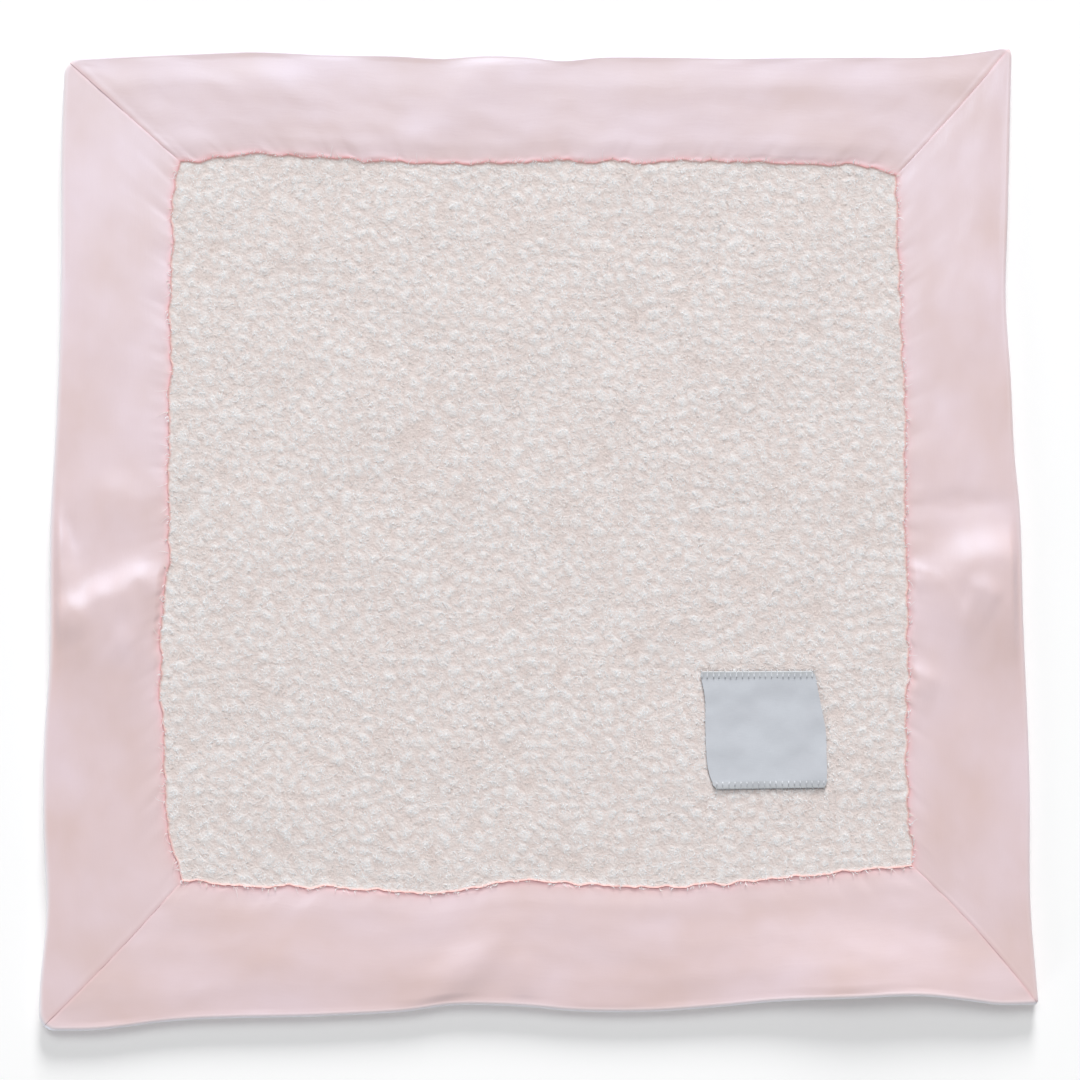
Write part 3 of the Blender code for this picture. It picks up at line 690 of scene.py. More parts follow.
def satinStrip(side, finish):
    nominal = Rows(side, [0.5])
    span = nominal.width[0] - seamFold - edgeFold
    steps = satin["fineStep"] * mm, satin["coarseStep"] * mm, satin["stepReach"] * mm
    clear = satin["mitreGap"] * mm * math.sqrt(2) / nominal.length
    share = clear + spreadOut(nominal.length, *steps) / nominal.length * (1 - 2 * clear)
    rows = Rows(side, share)
    width = rows.width[:, None]

    # out from the seam and up from the ground, all the way round the cloth's section
    underOut = np.linspace(allowance, seamFold, satin["underSteps"] + 1)[:-1]
    turnOut, turnUp = foldTurn(seamFold, seamUnder + threadFold, threadFold)
    faceShare = spreadOut(span, *steps)[1:-1] / span
    faceOut = seamFold + faceShare * (width - seamFold - edgeFold)
    endOut, endUp = foldTurn(edgeFold, edgeUnder + satin["edgeFold"] * mm, satin["edgeFold"] * mm)
    backOut = np.linspace(edgeFold, allowance, satin["backSteps"] + 1)[1:]
    out = np.concatenate([
        np.broadcast_to(underOut, (len(share), len(underOut))),
        np.broadcast_to(turnOut, (len(share), len(turnOut))),
        faceOut, width - endOut[::-1], width - backOut,
    ], axis=1)
    place = rows.at(out)
    base = seamFace + (edgeFace - seamFace) * out / width
    up = base + satinRelief(rows, out, place)
    first, last = len(underOut) + len(turnOut), out.shape[1] - len(endOut) - len(backOut)
    up[:, :len(underOut)] = seamUnder
    up[:, len(underOut):first] = turnUp
    up[:, last:last + len(endOut)] = endUp[::-1]
    up[:, last + len(endOut):] = edgeUnder

    # the weave follows the cut cloth, so its second coordinate is measured along the section
    nextTo = np.hypot(np.diff(out, axis=1), np.diff(up, axis=1))
    run = np.concatenate([np.zeros((len(share), 1)), np.cumsum(nextTo, axis=1)], axis=1)
    direction = np.array([-outward[side][1], outward[side][0]])
    uv = np.stack([place @ direction, run], -1)
    # painted warm shade in the seam and mitre creases
    nearSeam = np.exp(-np.maximum(out - seamFold, 0) / (satin["seamShadeReach"] * mm)) * (out < width / 2)
    nearSeam = nearSeam * satin["seamShade"][side]
    nearMitre = np.exp(-rows.squareToMitre / (satin["mitreShadeReach"] * mm))[:, None] * satin["mitreShade"]
    crease = np.maximum(nearSeam, nearMitre)
    # painted highlight along the outer edge's fold, stronger on the bottom and left
    rim = bell(width - out, satin["rimReach"] * mm) * satin["rimLight"][side]
    points = np.concatenate([place, up[..., None]], -1)
    faces = gridFaces(*points.shape[:2])
    strip = meshObject("satin_border_" + sides[side], points, faces, uv, {"crease": crease, "rim": rim})
    thicken(strip, satin["thickness"] * mm)
    finishPiece(strip, finish, "border_satin", "border_" + sides[side])
    # its flat piece is cut to the mitres, with the allowance all round
    outer, wide, more = lay["side"], lay["border"], satin["allowance"]
    inner = outer - 2 * wide
    area = (outer + inner) / 2 * wide + more * (outer + inner + 2 * wide * math.sqrt(2))


satinLook = {
    "borderTint": (233, 202, 198),
    "backTint": (226, 197, 195),
    "borderRough": 0.38,
    "backRough": 0.45,
    "pale": (5, 8, 13),  # how far the clouds stray from the tint
    "deep": (-6, -9, -14),
    "between": -16,  # and the cloth between its floats
    "weave": 0.1,  # how much of that shows
    # the colour of the painted warm shade in the creases
    "thread": (246, 184, 181),
    "creaseShadeShare": 0.75,
    # the colour of the painted highlight along the outer edge's fold
    "rim": (255, 250, 252),
    "clouds": ((22, 30, 1), 3),
    "floats": ((160, 4200, 1), 2),
    "wefts": ((2600, 240, 1), 1),
    "slubs": ((60, 900, 1), 2),
    "slubDepth": 0.05,  # mm
    "weaveDepth": 0.03,
}


def satinFinish(name, tint, rough):
    # fine floats of silk along the strip, a little uneven, with painted warm shade in the creases and a
    # painted highlight along the outer edge's fold
    look = satinLook
    finish = Finish(name, Sheen_Weight=0.45, Sheen_Roughness=0.25, Sheen_Tint=(1, 0.97, 1, 1), IOR=1.8,
                    Specular_IOR_Level=1.0, Specular_Tint=(0.5, 0.75, 1, 1))
    cloth, crease, rim = finish.cloth(), finish.mark("crease"), finish.mark("rim")
    clouds, floats, wefts, slubs = (
        finish.noise(cloth, *look[kind]) for kind in ("clouds", "floats", "wefts", "slubs"))
    weave = floats * 0.7 + wefts * 0.3
    colour = finish.mixed(finish.clamped(clouds, 0.3, 0.7), paint(tint, look["deep"]),
                          paint(tint, look["pale"]))
    colour = finish.mixed(finish.clamped(weave, 0.35, 0.65) * look["weave"], colour,
                          paint(tint, look["between"]))
    # painted warm shade in the creases
    colour = finish.mixed(crease * look["creaseShadeShare"], colour, paint(look["thread"]))
    # painted highlight along the outer edge's fold
    colour = finish.mixed(rim, colour, paint(look["rim"]))
    finish.drive("Base Color", colour)
    finish.drive("Roughness", rough + clouds * 0.06 + crease * 0.2)
    woven = finish.bump(weave, look["weaveDepth"], 0.4)
    finish.drive("Normal", finish.bump(slubs, look["slubDepth"], 0.35, woven))
    return finish


# Label

label = {
    "cloth": 0.3,  # mm
    "turn": 5,
    "gap": 0.1,
    "lift": 0.3,  # of its underside over the CAD label's
    "stray": ((-1.9, 0.1), (-4.6, 0.3), (-0.3, 0.9), (4.1, 0.2)),  # of its corners from its box, right and up
    # share of the way down each side, and mm to the right
    "left": ((0, 0), (0.1, 0.6), (0.22, 0.9), (0.44, -0.3), (0.64, -1.3), (0.83, -1.6), (1, 0)),
    "right": ((0, 0), (0.18, 0.7), (0.37, 1.6), (0.51, 2.2), (0.73, 1.4), (0.9, 0.7), (1, 0)),
    "rounding": 0.022,  # share of its width that the corners lose
    "roundingReach": 0.05,  # share of its height
    "waves": ((0.28, 14, 11, 51), (0.07, 5, 7, 52)),  # height, length across and down in mm, seed
    "sag": 0.3,
    "still": 4,  # mm from each end, over which both come to their height
    "tug": (0.04, 3.1, 40, 53),  # the same for the puckers between the stitches
    "tugReach": 3,
    "teeth": (0.22, 40, 54),  # of the heat-cut sides: depth in mm, how many down a side, seed
    "teethShare": 0.04,  # of its width
    "downSteps": (0.3, 0.75, 5),  # spacing of its mesh in mm: least, most and how soon
    "acrossSteps": (0.008, 0.016, 0.1),  # the same in shares of its width
}

labelLow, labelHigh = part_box("label")
labelMiddle = (np.array(labelLow) + np.array(labelHigh))[:2] / 2
labelHalf = (np.array(labelHigh) - np.array(labelLow))[:2] / 2
labelCorners = labelMiddle + cornerSigns * labelHalf + np.array(label["stray"]) * mm
labelUnder = labelLow.z + (label["lift"] + label["cloth"] / 2) * mm
labelFace = labelUnder + (label["cloth"] + label["gap"] + label["cloth"] / 2) * mm


def labelSide(name, down):
    # a point on the label's left or right side, this share of the way down
    first, last = (0, 3) if name == "left" else (1, 2)
    point = labelCorners[first] + down[..., None] * (labelCorners[last] - labelCorners[first])
    point[..., 0] += curveThrough(label[name], down) * mm
    return point


def outsideLabel(points):
    # distance beyond the label's sides, below zero under it
    top, foot = labelCorners[:2, 1].mean(), labelCorners[2:, 1].mean()
    down = (top - points[..., 1]) / (top - foot)
    held = np.clip(down, 0, 1)
    beyond = (np.abs(down - 0.5) - 0.5) * (top - foot)
    left = labelSide("left", held)[..., 0] - points[..., 0]
    right = points[..., 0] - labelSide("right", held)[..., 0]
    return np.maximum(beyond, np.maximum(left, right))


def labelPlace(across, down):
    left, right = labelSide("left", down), labelSide("right", down)
    nearEnd = np.maximum(1 - np.minimum(down, 1 - down) / label["roundingReach"], 0)
    lost = nearEnd ** 2 * label["rounding"]
    across = lost + across * (1 - 2 * lost)
    return left + across[..., None] * (right - left)


def wovenLabel(finish):
    high = 2 * labelHalf[1]
    fold = (label["cloth"] + label["gap"]) / 2 * mm
    centre = label["cloth"] / 2 * mm + fold
    turnOut, turnUp = foldTurn(centre, labelUnder + fold, fold)
    face = spreadOut(high - 2 * centre, *(step * mm for step in label["downSteps"]))[1:-1] + centre
    turned = label["turn"] * mm
    down = np.concatenate([[turned], turnOut, face, high - turnOut[::-1], [high - turned]])
    level = labelUnder + 2 * fold
    up = np.concatenate([[labelUnder], turnUp, np.full(len(face), level), turnUp[::-1], [labelUnder]])
    across, down = np.meshgrid(spreadOut(1, *label["acrossSteps"]), down / high, indexing="ij")
    place = labelPlace(across, down)
    x, y = place[..., 0] / mm, place[..., 1] / mm
    onFace = np.broadcast_to(np.isclose(up, level), across.shape)
    fromEnd = np.minimum(down, 1 - down) * high
    wave = waves(x, y, label["waves"]) - label["sag"] * np.sin(np.pi * down)
    height, wide, tall, seed = label["tug"]
    tug = billow(softNoise(x / wide, y / tall, seed)) * height * bell(fromEnd, label["tugReach"] * mm)
    up = up + onFace * (wave * ease(fromEnd / (label["still"] * mm)) + tug) * mm
    depth, teeth, seed = label["teeth"]
    edge = softNoise(down * teeth, across.round(), seed) * depth * mm
    place[..., 0] += edge * np.maximum(1 - np.minimum(across, 1 - across) / label["teethShare"], 0)
    points = np.concatenate([place, up[..., None]], -1)
    uv = np.stack([across * 2 * labelHalf[0], down * high], -1)
    made = meshObject("woven_label", points, gridFaces(*across.shape), uv, {"down": down})
    thicken(made, label["cloth"] * mm)
    finishPiece(made, finish, "label_cloth", "label")


labelLook = {
    "deep": (203, 206, 213),
    "pale": (209, 213, 220),
    "between": (180, 183, 190),
    "weave": 0.2,  # how much of that shows
    "stitchShade": (186, 189, 193),  # painted shade of the whip stitches over its turned ends, which begins this far from its middle
    "stitchShadeFrom": (0.43, 0.445),
    # painted shade along the fold at each end
    "end": (188, 191, 193),
    "endShadeFrom": (0.475, 0.48),
    "shown": 0.6,  # how much of both painted shades
    "clouds": ((60, 90, 1), 3),
    "ribs": ((240, 5200, 1), 2),
    "wefts": ((4600, 500, 1), 1),
    "depth": 0.05,  # mm
}


def labelFinish():
    look = labelLook
    finish = Finish("labelSatin", Sheen_Weight=0.15, Sheen_Roughness=0.4, Specular_IOR_Level=0.4)
    cloth = finish.cloth()
    clouds, ribs, wefts = (finish.noise(cloth, *look[kind]) for kind in ("clouds", "ribs", "wefts"))
    weave = ribs * 0.65 + wefts * 0.35
    colour = finish.mixed(finish.clamped(clouds, 0.3, 0.7), paint(look["deep"]), paint(look["pale"]))
    colour = finish.mixed(finish.clamped(weave, 0.35, 0.65) * look["weave"], colour, paint(look["between"]))
    # painted shade over the stitched, turned ends and along the fold at each end
    fromMiddle = abs(finish.mark("down") - 0.5)
    for part, start in (("stitchShade", "stitchShadeFrom"), ("end", "endShadeFrom")):
        share = finish.clamped(fromMiddle, *look[start]) * look["shown"]
        colour = finish.mixed(share, colour, paint(look[part]))
    finish.drive("Base Color", colour)
    finish.drive("Roughness", 0.42 + clouds * 0.1)
    finish.drive("Normal", finish.bump(weave, look["depth"], 0.5))
    return finish


# Fleece

fleece = {
    "backing": 1.2,  # mm
    "under": 4.65,  # the pile's level at its seam
    "rim": 0.7,  # its edge laps this far out over the fold beside it
    "rimUnder": (0, 3.3),  # and comes back to here below it
    "bed": 4.3,  # its level under the locks
    "roll": 2.6,  # over this width it comes to the seam's level
    "rimTufts": 0.5,  # how much of the tufts' height is left there
    "clump": (4.6, 4.9),
    "clumpHeight": 0.34,
    "clumpLift": (0.75, 1),  # share of that height, from tuft to tuft
    "clumpEdge": 0.8,  # how rounded the tufts are, up to 1
    "clumpSeeds": (5, 6),
    # how far the tufts stray, in their own widths: how close the noise, how strong, seeds right and up
    "clumpStray": ((0.6, 0.45, 3, 4), (2.1, 0.22, 13, 14)),
    "cells": 290,  # of the bed, along each side
    "wave": (0.3, 34, 8),  # height and length in mm, seed
    "seatDepth": 0.45,  # the label lies this deep in the pile
    "seatEdge": 0.9,
    "hidden": 1.2,  # this far in under the label the locks stop
    "edgeShadeWidth": 0.5,  # painted warm shade at the pile's edge beside the seam, over this width
    "plots": (4, 2),
    "mapScale": 2.4,  # of the straight-down map stored as OFBake, to the metre
}
locks = {
    "spacing": 0.62,  # mm, least distance between locks
    "length": 2.7,
    "radii": (0.12, 0.13),  # from the root on
    "root": 0.5,  # how deep it starts in the bed, the hairs too
    "section": (1.3, 0.45),  # width and height, in radii
    "variants": 8,
    "curl": (0.4, 2.4),  # radians, either way round
    "rise": (0.2, 0.45),  # at the root
    "fall": (-0.35, -0.1),  # at the tip
    "turn": 4,  # how strongly the locks' lie changes from place to place
    "turnLength": 6,
    "stray": 1.3,
    "upright": 0.8,
    "sizes": (0.78, 1.25),
    "topLength": 0.75,  # those on top of the tufts are short, so that none lies across to the next tuft
    "hollowLength": 0.35,  # and those between them this much longer
    "seeds": (21, 3),
}
hairs = {
    "spacing": 4.4,
    "length": 5.5,
    "radii": (0.06, 0.06, 0.055, 0.045),
    "stray": 3.1,
    "seeds": (22, 40),
}


def clumps(x, y, period=96):
    # rounded tufts packed side by side: how high, 0 between them and 1 on top, and the way to their middles
    wide, high = fleece["clump"]
    x, y = x / (wide * mm), y / (high * mm)
    for close, strength, seedRight, seedUp in fleece["clumpStray"]:
        right, up = (softNoise(x * close, y * close, seed) for seed in (seedRight, seedUp))
        x, y = x + right * strength, y + up * strength
    column, row = np.floor(x).astype(int), np.floor(y).astype(int)
    placing, lifting = (np.random.default_rng(seed) for seed in fleece["clumpSeeds"])
    middles = placing.uniform(0, 1, (period, period, 2))
    lifts = lifting.uniform(*fleece["clumpLift"], (period, period))
    best, second = np.full(x.shape, np.inf), np.full(x.shape, np.inf)
    height, heading = np.zeros(x.shape), np.zeros(x.shape)
    for dx in (-1, 0, 1):
        for dy in (-1, 0, 1):
            c, r = column + dx, row + dy
            middle = middles[c % period, r % period]
            across, up = c + middle[..., 0] - x, r + middle[..., 1] - y
            away = np.hypot(across, up)
            nearer = away < best
            second = np.where(nearer, best, np.minimum(second, away))
            best = np.where(nearer, away, best)
            height = np.where(nearer, lifts[c % period, r % period], height)
            heading = np.where(nearer, np.arctan2(up * high, across * wide), heading)
    inside = np.clip((second - best) / fleece["clumpEdge"], 0, 1)
    return (1 - (1 - inside) ** 2) * height, heading


def fleeceBed(finish):
    # the knitted backing with its pile up to the locks, turned out under the satin as its allowance
    cells = fleece["cells"]
    flat = patchInside(rimOf(fleece["rim"] * mm, cells))
    inward = depthInside(cells, panelHalf[0])
    roll = np.clip(inward / (fleece["roll"] * mm), 0, 1)
    level = fleece["under"] + (fleece["bed"] - fleece["under"]) * np.sqrt(1 - (1 - roll) ** 2)
    x, y = flat[..., 0], flat[..., 1]
    tufts, heading = clumps(x, y)
    height, length, seed = fleece["wave"]
    x, y = x / (length * mm), y / (length * mm)
    relief = tufts * fleece["clumpHeight"] + softNoise(x, y, seed) * height
    free = ease((outsideLabel(flat) / mm + fleece["seatEdge"] / 2) / fleece["seatEdge"])
    kept = fleece["rimTufts"] + (1 - fleece["rimTufts"]) * ease(roll)
    level = level + relief * kept * free - fleece["seatDepth"] * (1 - free)
    top = np.concatenate([flat, level[..., None] * mm], -1)

    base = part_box("sherpa_panel")[0].z
    flap = base + fleece["backing"] * mm
    tucked, tuckedUp = (v * mm for v in fleece["rimUnder"])
    profile = ((tucked, tuckedUp), (tucked, flap), (allowance, flap), (allowance, base))
    points, faces, ring = turnedUnder(top, profile)
    hollow, rim = np.zeros(len(points)), np.ones(len(points))
    hollow[:tufts.size] = 1 - tufts.ravel()
    # painted warm shade at the pile's edge beside the seam
    rim[:tufts.size] = np.maximum(1 - inward.ravel() / (fleece["edgeShadeWidth"] * mm), 0)
    bed = meshObject("fleece_panel", points, [*faces, ring[::-1]], None, {"hollow": hollow, "rim": rim})

    # the same top by itself, marked in plots, to grow the locks on
    marks = {"hollow": 1 - tufts, "heading": heading}
    ground = meshObject("ground", top, gridFaces(cells + 1, cells + 1), None, marks)
    columns, rows = fleece["plots"]
    u = np.linspace(0, 1, cells + 1)[:-1]
    column, row = (np.minimum((u * count).astype(int), count - 1) for count in (columns, rows))
    plot = row[:, None] * columns + column[None, :]
    middle = (flat[:-1, :-1] + flat[1:, 1:]) / 2
    plot = np.where(outsideLabel(middle) < -fleece["hidden"] * mm, -1, plot)
    ground.data.attributes.new("plot", "INT", "FACE").data.foreach_set("value", plot.ravel())
    finishPiece(bed, finish, "sherpa_fleece", "sherpa_panel")
    return bed, ground


def lockMesh(name, spec, curl, rise, fall):
    # a lock of wool: three-sided, from its root up along a curl to a fine tip
    radii = np.array(spec["radii"]) * mm
    rings, tips, place = [], [], Vector((0, 0, -locks["root"] * mm))
    for number, radius in enumerate(radii):
        t = number / len(radii)
        pitch, heading = rise + (fall - rise) * t, curl * t
        level = Vector((math.cos(heading), math.sin(heading), 0))
        ahead = level * math.cos(pitch) + Vector((0, 0, math.sin(pitch)))
        sideways = Vector((-math.sin(heading), math.cos(heading), 0))
        over = ahead.cross(sideways)
        rings.append(ringAt(place, sideways, over, radius, 3, math.pi / 6, *locks["section"]))
        tips += [t] * 3
        place = place + ahead * (spec["length"] * mm / len(radii))
    made = tubeMesh(name, rings, place, {"tip": tips + [1.0]})
    made.data.shade_flat()
    return made


def lockSet(name, spec):
    random = np.random.default_rng(spec["seeds"][0])
    kept = bpy.data.collections.new(name)
    for number in range(locks["variants"]):
        curl = random.choice([-1, 1]) * random.uniform(*locks["curl"])
        rise, fall = random.uniform(*locks["rise"]), random.uniform(*locks["fall"])
        made = lockMesh(f"{name}{number}", spec, curl, rise, fall)
        bpy.context.scene.collection.objects.unlink(made)
        kept.objects.link(made)
    return kept


def pileGrowth():
    # locks spread over the ground, each leaning in over its tuft
    growth = Growth("curlyPile", {
        "Ground": "Geometry", "Locks": "Collection", "Finish": "Material", "Spacing": "Float",
        "Least size": "Float", "Greatest size": "Float", "Turn": "Float", "Turn length": "Float",
        "Stray": "Float", "Upright": "Float", "Plot": "Int", "Last plot": "Int", "Seed": "Int"})
    given = growth.given
    plot = growth.mark("plot", "INT")
    inside = [
        growth.node("FunctionNodeCompare", {"data_type": "INT", "operation": how}, {2: plot, 3: given[end]})
        for how, end in (("GREATER_EQUAL", "Plot"), ("LESS_EQUAL", "Last plot"))]
    chosen = growth.node("FunctionNodeBooleanMath", {"operation": "AND"}, dict(enumerate(inside)))
    spread = growth.node("GeometryNodeDistributePointsOnFaces", {"distribute_method": "POISSON"}, {
        "Mesh": given["Ground"], "Selection": chosen, "Distance Min": given["Spacing"],
        "Density Max": 3e6, "Seed": given["Seed"]})
    seeds = [given["Seed"] + float(number) for number in range(4)]
    where = growth.node("GeometryNodeInputPosition")
    closeness = growth.maths("DIVIDE", 1.0, given["Turn length"])
    drift = growth.node("ShaderNodeTexNoise", {}, {"Vector": where, "Scale": closeness, "Detail": 1.0})
    stray = growth.chance(-1.0, 1.0, seeds[1]) * given["Stray"]
    around = growth.turned(growth.mark("heading") + (drift - 0.5) * given["Turn"] + stray)
    stood = growth.node("FunctionNodeAlignRotationToVector", {"axis": "Z"}, {
        "Rotation": around, "Factor": given["Upright"], "Vector": spread.beside("Normal")})
    size = growth.chance(given["Least size"], given["Greatest size"], seeds[2])
    size = size * (locks["topLength"] + growth.mark("hollow") * locks["hollowLength"])
    source = growth.node("GeometryNodeCollectionInfo", {},
                         {"Collection": given["Locks"], "Separate Children": True, "Reset Children": True})
    which = growth.node("FunctionNodeRandomValue", {"data_type": "INT"},
                        {4: 0, 5: locks["variants"] - 1, 8: seeds[3]}, 2)
    placed = growth.node("GeometryNodeInstanceOnPoints", {}, {
        "Points": spread, "Instance": source, "Pick Instance": True, "Instance Index": which,
        "Rotation": stood, "Scale": size})
    toned = growth.stored(placed, "tone", growth.chance(0.0, 1.0, seeds[0]), "FLOAT", "INSTANCE")
    # a map stored as OFBake looks straight down on the pile
    scale = fleece["mapScale"]
    flat = growth.node("ShaderNodeVectorMath", {"operation": "MULTIPLY_ADD"},
                       {0: where, 1: (scale, scale, 0), 2: (0.5, 0.5, 0)})
    growth.end(growth.stored(growth.real(toned), "OFBake", flat, "FLOAT2", "CORNER"))
    return growth


def fleecePile(ground, finish):
    growth = pileGrowth()
    least, greatest = locks["sizes"]
    common = {"Finish": finish.material, "Least size": least, "Greatest size": greatest,
              "Turn": locks["turn"], "Turn length": locks["turnLength"] * mm, "Upright": locks["upright"]}
    wool, fine = lockSet("lock", locks), lockSet("hair", hairs)
    plots = math.prod(fleece["plots"])
    sowings = [(f"fleece_locks_{plot + 1}", wool, locks, plot, plot) for plot in range(plots)]
    sowings.append(("fleece_hairs", fine, hairs, 0, plots - 1))
    made = []
    for name, sown, spec, first, last in sowings:
        plot = link(bpy.data.objects.new(name, ground.data.copy()))
        made.append(growth.run(plot, {
            **common, "Locks": sown, "Spacing": spec["spacing"] * mm, "Stray": spec["stray"],
            "Plot": first, "Last plot": last, "Seed": spec["seeds"][1]}))
    for used in (wool, fine):
        for source in list(used.objects):
            bpy.data.objects.remove(source)
        bpy.data.collections.remove(used)
    for piece in made:
        finishPiece(piece, finish, "sherpa_fleece")
    return made


woolLook = {
    # painted shade down the locks: the roots a little darker than the lighter, cooler tips
    "root": (243, 245, 246),
    "tip": (246, 249, 252),
    "between": (230, 211, 201),  # painted warm shade in the hollows between the tufts
    "hollowShadeFrom": (0.7, 1.15),
    "clouds": ((190, 330, 200), 3),
    "fibres": ((5200, 5200, 5200), 2),
    "fibreDepth": 0.02,  # mm
    "bedDeep": (236, 229, 227),
    "bedPale": (242, 238, 237),
    # painted warm shade in the hollows between the tufts, and at the pile's edge beside the seam
    "bedHollowShade": (226, 209, 203),
    "bedSeamShade": (236, 180, 174),
    "bedWool": ((900, 900, 900), 4, 0.65),
    "bedDepth": 0.5,  # mm
}


def fleeceFinish():
    # painted shade: roots a little darker than the lighter, cooler tips, and warm shade in the hollows
    # between the tufts, less on the tips; each lock a little unlike its neighbours
    look = woolLook
    finish = Finish("sherpaFleece", Sheen_Weight=0.4, Sheen_Roughness=0.7, Roughness=0.9,
                    Specular_IOR_Level=0.3)
    place = finish.place()
    clouds, fibres = (finish.noise(place, *look[kind]) for kind in ("clouds", "fibres"))
    # painted shade by depth into the pile, from root to tip
    depth = finish.clamped(finish.mark("tip") + finish.mark("tone") * 0.3, 0.05, 0.6)
    colour = finish.mixed(depth, paint(look["root"]), paint(look["tip"]))
    # painted warm shade in the hollows between the tufts, less towards the tips
    hollow = finish.clamped(finish.mark("hollow") + clouds * 0.5, *look["hollowShadeFrom"])
    finish.drive("Base Color", finish.mixed(hollow * (1.0 - depth * 0.3), colour, paint(look["between"])))
    finish.drive("Normal", finish.bump(fibres, look["fibreDepth"], 0.3))
    return finish


def beddingFinish():
    look = woolLook
    finish = Finish("sherpaBed", Sheen_Weight=0.3, Sheen_Roughness=0.6, Roughness=0.95,
                    Specular_IOR_Level=0.2)
    wool = finish.noise(finish.place(), *look["bedWool"])
    colour = finish.mixed(finish.clamped(wool, 0.35, 0.65), paint(look["bedDeep"]), paint(look["bedPale"]))
    # painted warm shade in the hollows between the tufts, then at the pile's edge beside the seam
    colour = finish.mixed(finish.mark("hollow") * 0.8, colour, paint(look["bedHollowShade"]))
    finish.drive("Base Color", finish.mixed(finish.mark("rim") * 0.9, colour, paint(look["bedSeamShade"])))
    finish.drive("Normal", finish.bump(wool, look["bedDepth"], 0.6))
    return finish


# Back

backing = {
    "cells": 130,
    "lift": 0.5,  # mm, its edges lie this much higher than its middle
    "liftWidth": 16,
    "waves": ((0.09, 38, 38, 31), (0.03, 15, 15, 32)),  # height, length both ways in mm, seed
    "waveLevel": 0.1,
}


def satinBack(finish):
    # one square of satin with its edges turned up and in
    lift, inset = backing["lift"] * mm, clothHalf + threadFold
    turnOut, turnUp = foldTurn(inset, clothHalf + lift + threadFold, threadFold)
    flat = patchInside(rimOf(-inset, backing["cells"], True))
    fromEdge = depthInside(backing["cells"], boxHalf[0]) / (backing["liftWidth"] * mm)
    x, y = flat[..., 0] / mm, flat[..., 1] / mm
    wave = waves(x, y, backing["waves"]) + backing["waveLevel"]
    level = clothHalf + lift * ease(1 - fromEdge) + wave * mm * ease(fromEdge)
    top = np.concatenate([flat, level[..., None]], -1)
    profile = [*zip(-turnOut[1:], turnUp[1:]), (-allowance, turnUp[-1])]
    points, faces, _ = turnedUnder(top, profile, True)
    back = meshObject("satin_back", points, faces[:, ::-1], points[:, :2])
    thicken(back, satin["thickness"] * mm, False)
    finishPiece(back, finish, "back_satin", "back_panel")
    side = lay["side"] * mm + 2 * allowance


# Stitches

sewing = {
    "row": (2.4, 0.06),  # mm from stitch to stitch, and how far each strays from its line, in radians
    "closingRow": (3.12, 0.2),
    "whippingRow": (2.35, 0.07),
    "ends": (0.01, 0.99),  # shares of a side, between which it is sewn
    "panelEnds": (0.012, 0.988),
    "mitreEnds": (0.1, 0.9),
    "labelEnds": (0.02, 0.98),
    "closing": (0.392, 0.618),  # the shares of the bottom edge between which it was closed by hand
    "mitreLevel": 0.2,  # of the way up its thread's box
    "edgeInset": 1.7,  # mm
    "stitch": ((-1.05, 0, -0.04), (-0.6, 0, 0.03), (0, 0, 0.05), (0.6, 0, 0.03), (1.05, 0, -0.04)),
    "stitchRadii": (0.08, 0.16, 0.16, 0.16, 0.08),
    "closingRadii": (0.07, 0.13, 0.13, 0.13, 0.07),
    "whip": ((0, -3.1, -0.35), (0, -2.85, -0.08), (0, -2.3, 0), (0, -1.6, 0), (0, -1.2, -0.04),
             (0, -0.1, 0.04), (0, 0.45, -0.2), (0, 0.8, -0.9)),
    "whipRadii": (0.12, 0.28, 0.36, 0.3, 0.18, 0.12, 0.12, 0.1),
    "seed": 4,
}


def stitchMesh(name, path, radii):
    # a short run of thread along these points, round, drawn in at both ends
    path = [Vector([v * mm for v in place]) for place in path]
    rings = []
    for number, (place, radius) in enumerate(zip(path, np.array(radii) * mm)):
        before, after = path[max(number - 1, 0)], path[min(number + 1, len(path) - 1)]
        ahead = (after - before).normalized()
        level = Vector((1, 0, 0)) if abs(ahead.y) > 0.7 else Vector((0, 1, 0))
        sideways = level.cross(ahead).normalized()
        rings.append(ringAt(place, sideways, ahead.cross(sideways), radius, 6))
    return tubeMesh(name, rings)


def stitchGrowth():
    # one stitch at every step along a line, turned to run with it
    growth = Growth("stitchRow", {"Line": "Geometry", "Stitch": "Object", "Pitch": "Float", "Sway": "Float",
                                  "Finish": "Material", "Seed": "Int"})
    given = growth.given
    line = growth.node("GeometryNodeMeshToCurve", {}, {"Mesh": given["Line"]})
    steps = growth.node("GeometryNodeResampleCurve", {"mode": "LENGTH"},
                        {"Curve": line, "Length": given["Pitch"]})
    tangent = growth.node("GeometryNodeInputTangent")
    along = growth.node("FunctionNodeAlignRotationToVector", {"axis": "X"}, {"Vector": tangent})
    slant = growth.turned(growth.chance(-1.0, 1.0, given["Seed"]) * given["Sway"])
    final = growth.node("FunctionNodeRotateRotation", {"rotation_space": "LOCAL"}, {0: along, 1: slant})
    stitch = growth.node("GeometryNodeObjectInfo", {}, {"Object": given["Stitch"]}, "Geometry")
    placed = growth.node("GeometryNodeInstanceOnPoints", {},
                         {"Points": steps, "Instance": stitch, "Rotation": final})
    growth.end(growth.real(placed))
    return growth


def stitchRow(name, lines, stitch, row, finish, slot, node, growth):
    # stitches along one or more lines
    points, edges = [], []
    for line in lines:
        edges += [(len(points) + i, len(points) + i + 1) for i in range(len(line) - 1)]
        points += [tuple(point) for point in line]
    mesh = bpy.data.meshes.new(name)
    mesh.from_pydata(points, edges, [])
    made = link(bpy.data.objects.new(name, mesh))
    pitch, sway = row
    growth.run(made, {"Stitch": stitch, "Pitch": pitch * mm, "Sway": sway, "Finish": finish.material,
                      "Seed": sewing["seed"]})
    finishPiece(made, finish, slot, node)


